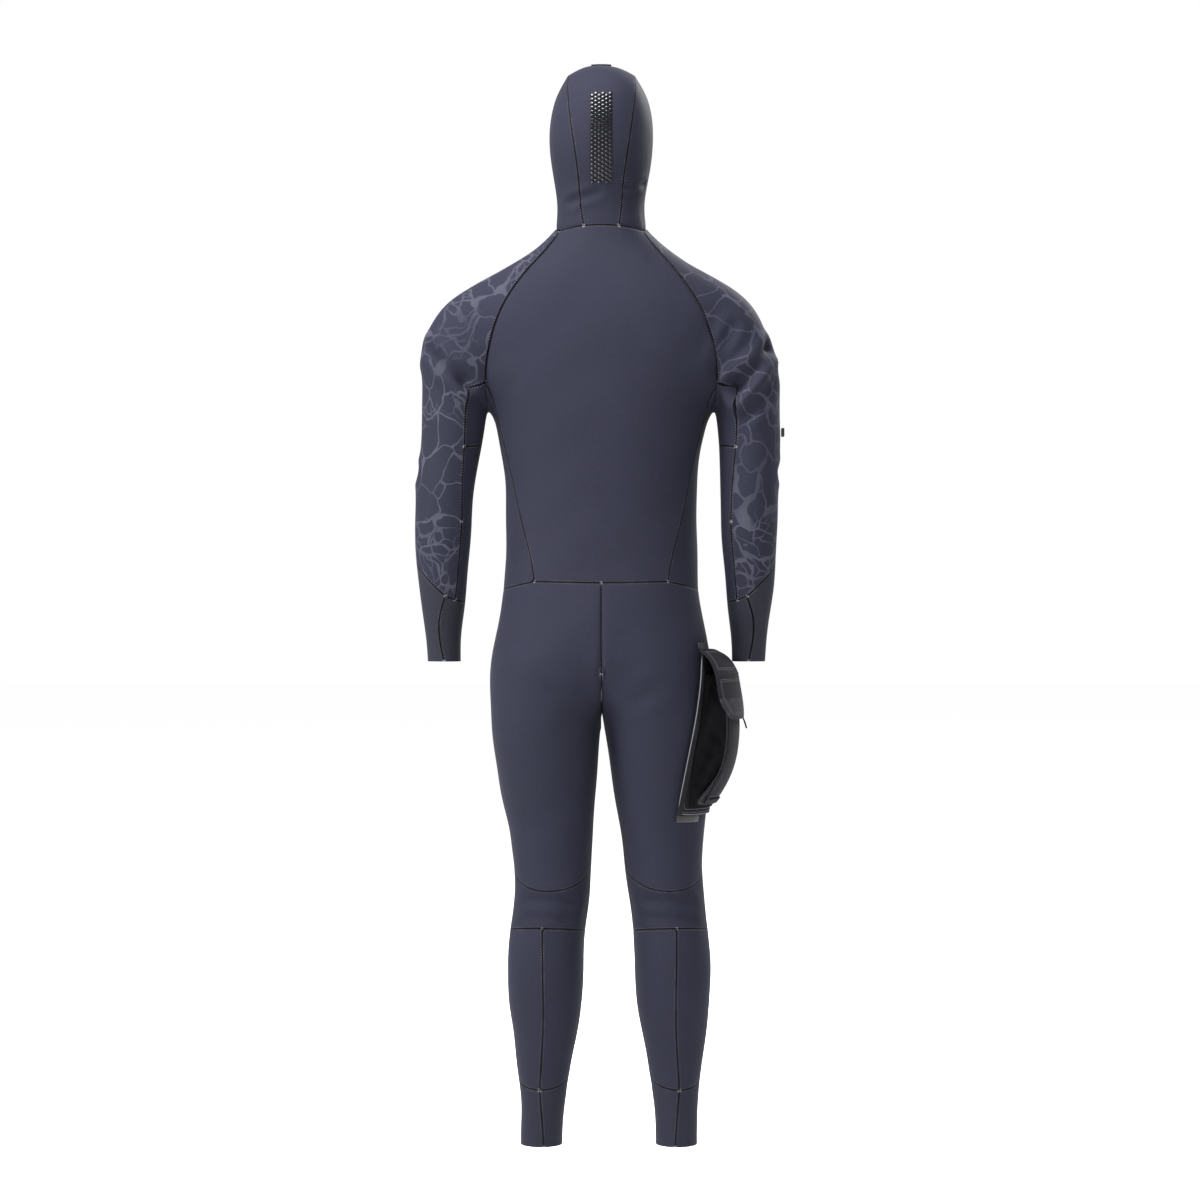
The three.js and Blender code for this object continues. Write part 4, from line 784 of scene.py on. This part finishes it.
low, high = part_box("hood_vent_strip")
hood_skin = BVHTree.FromObject(bpy.data.objects["hood_centre"], bpy.context.evaluated_depsgraph_get())
dots = [dot]
middle = (low.x + high.x) / 2
for column in range(DOT_COLUMNS):
    x = middle + (column - (DOT_COLUMNS - 1) / 2) * COLUMN_PITCH
    rows = int((high.z - low.z - 0.004) / ROW_PITCH)
    for row in range(rows):
        z = low.z + 0.0045 + (row + 0.5 * (column % 2)) * ROW_PITCH
        place, normal, _, _ = hood_skin.ray_cast(Vector((x, -0.4, z)), Vector((0, 1, 0)))
        turn = normal.to_track_quat("Z", "Y").to_matrix().to_4x4()
        copy = bpy.data.objects.new("dot", dot.data.copy())
        copy.data.transform(Matrix.Translation(place + normal * (DOT_HEIGHT - DOT_ROOT) / 2) @ turn)
        bpy.context.collection.objects.link(copy)
        dots.append(copy)
bpy.data.objects.remove(dots.pop(0))
select_only(*dots)
bpy.ops.object.join()
vent = bpy.context.object
vent.name = "drain_dots"
bpy.ops.object.shade_smooth_by_angle(angle=math.radians(35))
dot_rubber = rubber("dot_rubber", (0.0008, 0.0008, 0.0010), 0.16, pores=0.01, shine=0.25)
vent.data.materials.append(dot_rubber)
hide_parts("hood_vent_strip")
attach(vent, "suit")


# ---- Crown valve ----
# A small rubber lip on the crown that lets trapped air out of the hood.
moulded = rubber("moulded_rubber", (0.008, 0.008, 0.009), 0.42, pores=0.10)


def finished_copy(name, source, material, body, bevel=0.0006, detail=0, segments=2):
    piece = copy_of(name, source)
    select_only(piece)
    bpy.ops.object.mode_set(mode="EDIT")
    bpy.ops.mesh.select_all(action="SELECT")
    bpy.ops.mesh.tris_convert_to_quads(face_threshold=0.6, shape_threshold=1.2)
    bpy.ops.object.mode_set(mode="OBJECT")
    apply(piece, "BEVEL", width=bevel, segments=segments, limit_method="ANGLE", angle_limit=math.radians(40))
    if detail:
        apply(piece, "SUBSURF", levels=detail, render_levels=detail)
    select_only(piece)
    bpy.ops.object.shade_smooth_by_angle(angle=math.radians(45))
    piece.data.materials.append(material)
    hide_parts(source)
    if body:
        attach(piece, body)
    return piece


finished_copy("crown_valve", "hood_air_valve", moulded, "suit", detail=1)


# ---- Zip tapes and underflap ----
# Two woven tapes sewn under the edges of the chest panels, and behind them a flap of smooth-skin
# sheet that keeps water from running through the zip.
def woven(name, colour, warp, weft, rough=0.8, axis_b="X"):
    material = bpy.data.materials.new(name)
    material.use_nodes = True
    tree = material.node_tree
    shader = tree.nodes["Principled BSDF"]
    where = add(tree, "TexCoord").outputs["Object"]
    parts = add(tree, "SeparateXYZ", Vector=where)

    def rib(axis, pitch):
        turn = calc(tree, "MULTIPLY", parts.outputs[axis], math.tau / pitch)
        return calc(tree, "MULTIPLY_ADD", calc(tree, "SINE", turn), 0.5, 0.5)

    ribs = calc(tree, "MULTIPLY", rib("Z", warp), rib(axis_b, weft))
    tone = between(tree, noise(tree, where, 45.0, 3.0), 0.3, 0.7, 0.8, 1.25)
    # Painted light and shade: the colour is painted lighter on the tops of the ribs and darker between them.
    lit = calc(tree, "MULTIPLY_ADD", ribs, 0.6, 0.75)
    tree.links.new(scaled(tree, scaled(tree, colour, tone), lit), shader.inputs["Base Color"])
    tree.links.new(between(tree, tone, 0.8, 1.25, rough - 0.06, rough + 0.08), shader.inputs["Roughness"])
    shader.inputs["Specular IOR Level"].default_value = 0.04
    shader.inputs["Sheen Weight"].default_value = 0.01
    shader.inputs["Sheen Roughness"].default_value = 0.5
    height = calc(tree, "ADD", calc(tree, "MULTIPLY", ribs, 0.25),
                  calc(tree, "MULTIPLY", noise(tree, where, 500.0, 2.0), 0.12))
    bump = add(tree, "Bump", Height=height, Distance=0.001, Strength=0.8)
    tree.links.new(bump.outputs["Normal"], shader.inputs["Normal"])
    return material


tape_weave = woven("tape_weave", (0.010, 0.010, 0.013), 0.0012, 0.0010)
for side in SIDES:
    finished_copy(f"tape_{side}", f"zip_tape_{side}", tape_weave, "suit", bevel=0.0004)
finished_copy("underflap", "zip_underflap", smooth_skin, "suit", bevel=0.0012)


# ---- Zip coils ----
# Each tape carries a coil of plastic teeth, wound so that the two rows hook into each other.
# One tooth is a short bent bar, repeated up the whole length.
TOOTH_PITCH = 0.0024
coil_plastic = rubber("coil_plastic", (0.006, 0.006, 0.007), 0.3, pores=0.03)
for side, sign in (("right", 1), ("left", -1)):
    low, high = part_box(f"zip_coil_{side}")
    depth = high.y - low.y
    width = high.x - low.x
    bpy.ops.object.select_all(action="DESELECT")
    centre = ((low.x + high.x) / 2, (low.y + high.y) / 2, low.z + TOOTH_PITCH / 2)
    bpy.ops.mesh.primitive_cube_add(size=1, location=centre)
    tooth = bpy.context.object
    tooth.scale = (width * 0.98, depth * 0.94, TOOTH_PITCH * 0.62)
    bpy.ops.object.transform_apply(location=True, rotation=False, scale=True)
    bpy.ops.object.mode_set(mode="EDIT")
    bpy.ops.mesh.select_all(action="SELECT")
    bpy.ops.mesh.subdivide(number_cuts=1)
    bpy.ops.object.mode_set(mode="OBJECT")
    for vertex in tooth.data.vertices:
        outer = abs(vertex.co.x) - min(abs(low.x), abs(high.x))
        vertex.co.z += sign * 0.00045 * (outer / width - 0.5)
    apply(tooth, "SUBSURF", levels=1, render_levels=1)
    count = int((high.z - low.z) / TOOTH_PITCH)
    apply(tooth, "ARRAY", count=count, use_relative_offset=False, use_constant_offset=True,
          constant_offset_displace=(0, 0, TOOTH_PITCH))
    # The cord that the teeth are sewn round lies along their outer ends.
    bpy.ops.mesh.primitive_cylinder_add(vertices=8, radius=depth * 0.24, depth=high.z - low.z - 0.001,
                                        location=(sign * 0.0024, (low.y + high.y) / 2, (low.z + high.z) / 2))
    core = bpy.context.object
    bpy.ops.object.transform_apply(location=True, rotation=True, scale=True)
    select_only(tooth, core)
    bpy.ops.object.join()
    tooth.name = f"coil_{side}"
    bpy.ops.object.shade_smooth_by_angle(angle=math.radians(50))
    tooth.data.materials.append(coil_plastic)
    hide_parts(f"zip_coil_{side}")
    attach(tooth, "suit")


# ---- Zip slider, stop and pull ----
# A die-cast slider runs on the coils, a stop closes their foot, and a moulded pull hangs from
# the slider's lug.
def plated(name, colour, rough):
    material = bpy.data.materials.new(name)
    material.use_nodes = True
    tree = material.node_tree
    shader = tree.nodes["Principled BSDF"]
    where = add(tree, "TexCoord").outputs["Object"]
    tone = between(tree, noise(tree, where, 160.0, 4.0), 0.3, 0.7, 0.75, 1.2)
    tree.links.new(scaled(tree, colour, tone), shader.inputs["Base Color"])
    tree.links.new(between(tree, noise(tree, where, 700.0, 4.0), 0.3, 0.7, rough - 0.08, rough + 0.12),
                   shader.inputs["Roughness"])
    shader.inputs["Metallic"].default_value = 1.0
    height = calc(tree, "MULTIPLY", noise(tree, where, 900.0, 3.0), 0.05)
    bump = add(tree, "Bump", Height=height, Distance=0.001, Strength=0.6)
    tree.links.new(bump.outputs["Normal"], shader.inputs["Normal"])
    return material


gunmetal = plated("gunmetal", (0.16, 0.16, 0.17), 0.34)
finished_copy("slider", "zip_slider", gunmetal, "zip_slider_body", bevel=0.0005, segments=3)
finished_copy("stop", "zip_stop", gunmetal, "suit", bevel=0.0006, segments=3)
finished_copy("pull", "zip_pull", moulded, "zip_pull_body", bevel=0.0005, segments=3)

# Raised ribs across the pull, for a gloved grip.
RIB_COUNT = 5
RIB_PITCH = 0.0026
RIB_SIZE = (0.0064, 0.0007, 0.0012)
low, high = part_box("zip_pull")
ribs = []
for index in range(RIB_COUNT):
    bpy.ops.object.select_all(action="DESELECT")
    centre = ((low.x + high.x) / 2, high.y + 0.00005, low.z + 0.008 + index * RIB_PITCH)
    bpy.ops.mesh.primitive_cube_add(size=1, location=centre)
    rib = bpy.context.object
    rib.scale = RIB_SIZE
    bpy.ops.object.transform_apply(location=True, rotation=False, scale=True)
    apply(rib, "BEVEL", width=0.0003, segments=2, limit_method="NONE")
    ribs.append(rib)
select_only(*ribs)
bpy.ops.object.join()
grip = bpy.context.object
grip.name = "pull_grip"
grip.data.materials.append(moulded)
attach(grip, "zip_pull_body")


# ---- Pocket base ----
# The base of the thigh pocket is a patch of tough dark sheet sewn flat to the leg. Its back edge
# is bound with a webbing strip held by two rows of stitches.
base_knit = neoprene("base_knit", (0.0045, 0.0045, 0.0058), rough=0.78, grain=1.8, rows=(0.004, 0.009),
                     rim=(0.085, 0.085, 0.095))
pocket_webbing = woven("pocket_webbing", (0.0080, 0.0080, 0.0095), 0.0016, 0.0013)
base = panel("pocket_base_sheet", ["pocket_base"], base_knit, thick=0.0028, folds=False)
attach(base, "suit")


# A strip cut from the skin of a node: the faces whose centres pass the test, raised and thickened.
def strip_on(name, source, wanted, material, raised, thick, body, detail=3):
    piece = copy_of(name, source)
    keep_outer_face(piece)
    select_only(piece)
    bpy.ops.object.mode_set(mode="EDIT")
    bpy.ops.mesh.select_all(action="SELECT")
    bpy.ops.mesh.tris_convert_to_quads(face_threshold=1.2, shape_threshold=1.2)
    bpy.ops.object.mode_set(mode="OBJECT")
    apply(piece, "SUBSURF", levels=detail, render_levels=detail, boundary_smooth="PRESERVE_CORNERS")
    loops = open_loops(piece)
    mesh = bmesh.new()
    mesh.from_mesh(piece.data)
    mesh.normal_update()
    unwanted = [face for face in mesh.faces if not wanted(face.calc_center_median(), loops)]
    bmesh.ops.delete(mesh, geom=unwanted, context="FACES")
    for vertex in mesh.verts:
        vertex.co += vertex.normal * raised
    mesh.to_mesh(piece.data)
    mesh.free()
    apply(piece, "SOLIDIFY", thickness=thick, offset=1.0, use_even_offset=True, use_rim=True)
    apply(piece, "BEVEL", width=0.0003, segments=2, limit_method="ANGLE", angle_limit=math.radians(55))
    select_only(piece)
    bpy.ops.object.shade_smooth_by_angle(angle=math.radians(50))
    piece.data.materials.append(material)
    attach(piece, body)
    return piece


base_low, base_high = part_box("pocket_base")


STRIP_WIDTH = 0.0085
STRIP_END = 0.002


def near_back_edge(point, loops):
    gap = min((p - point).length for line in loops for p in line
              if p.y < -0.05 and base_low.z + STRIP_END < p.z < base_high.z - STRIP_END)
    return gap < STRIP_WIDTH and point.y < -0.04


strip_on("pocket_edge_strip", "pocket_base", near_back_edge, pocket_webbing, 0.0002, 0.0012,
         "suit")


# ---- Pocket bellows ----
# A gusset of thin black cloth joins the pocket's front to its base, folded in along its middle
# so that the pocket lies flat until it is filled.
FOLD_HEIGHT = 0.0034
FREE_FROM = 0.012
bellows_cloth = woven("bellows_cloth", (0.0016, 0.0016, 0.0020), 0.0011, 0.0011, rough=0.85, axis_b="Y")
bellows = copy_of("bellows_sheet", "pocket_bellows")
keep_outer_face(bellows)
select_only(bellows)
bpy.ops.object.mode_set(mode="EDIT")
bpy.ops.mesh.select_all(action="SELECT")
bpy.ops.mesh.tris_convert_to_quads(face_threshold=1.6, shape_threshold=1.6)
bpy.ops.object.mode_set(mode="OBJECT")
apply(bellows, "SUBSURF", levels=3, render_levels=3, boundary_smooth="PRESERVE_CORNERS")
sewn = [point for line in open_loops(bellows) for point in line]
sewn_tree = kdtree.KDTree(len(sewn))
for index, point in enumerate(sewn):
    sewn_tree.insert(point, index)
sewn_tree.balance()
for vertex in bellows.data.vertices:
    p = vertex.co
    free = min(1.0, sewn_tree.find(p)[2] / FREE_FROM)
    fold = math.sin(p.z * 84 + 1.8 * math.sin(p.x * 95)) + 0.4 * math.sin(p.z * 190 + p.x * 160)
    vertex.co += vertex.normal * FOLD_HEIGHT * free * fold
apply(bellows, "SOLIDIFY", thickness=0.0012, offset=-1.0, use_even_offset=True, use_rim=True)
bpy.ops.object.shade_smooth_by_angle(angle=math.radians(60))
bellows.data.materials.append(bellows_cloth)
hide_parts("pocket_bellows")
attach(bellows, "suit")


# ---- Pocket front and its binding ----
# The front is a shaped piece of the same tough sheet, bowed out from the leg. Woven tape binds
# its rim to the bellows.
front_knit = neoprene("front_knit", (0.0060, 0.0060, 0.0078), rough=0.76, grain=1.8, rows=(0.003, 0.016))
front = panel("pocket_front_sheet", ["pocket_front"], front_knit, thick=0.0028, folds=False)
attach(front, "suit")
finished_copy("pocket_rim_tape", "pocket_binding", pocket_webbing, "suit", bevel=0.0004,
              detail=1)


# ---- Pocket flap ----
# The flap is one sheet sewn down along its top. It folds over the mouth, is held by a hook patch
# on the front, and lifts by a webbing loop.
flap_knit = neoprene("flap_knit", (0.0045, 0.0045, 0.0058), rough=0.78, grain=1.6, rows=(0.008, 0.011),
                     mottle=(0.712, (0.017, 0.017, 0.020)))
flap = panel("pocket_flap_sheet", ["pocket_flap_yoke", "pocket_flap"], flap_knit, thick=0.003, folds=False)
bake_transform(flap)

finished_copy("flap_loop", "pocket_flap_pull", pocket_webbing, "pocket_flap_body",
              bevel=0.0004, detail=1)
for tab in ("top", "bottom"):
    finished_copy(f"corner_tab_{tab}", f"pocket_tab_{tab}", moulded, "suit", bevel=0.0005)


# ---- Arm tab ----
# A small moulded rubber tab on the outside of the right sleeve, which keeps a gauge strap in place.
finished_copy("sleeve_tab", "arm_tab", moulded, "suit", bevel=0.0012, segments=3)
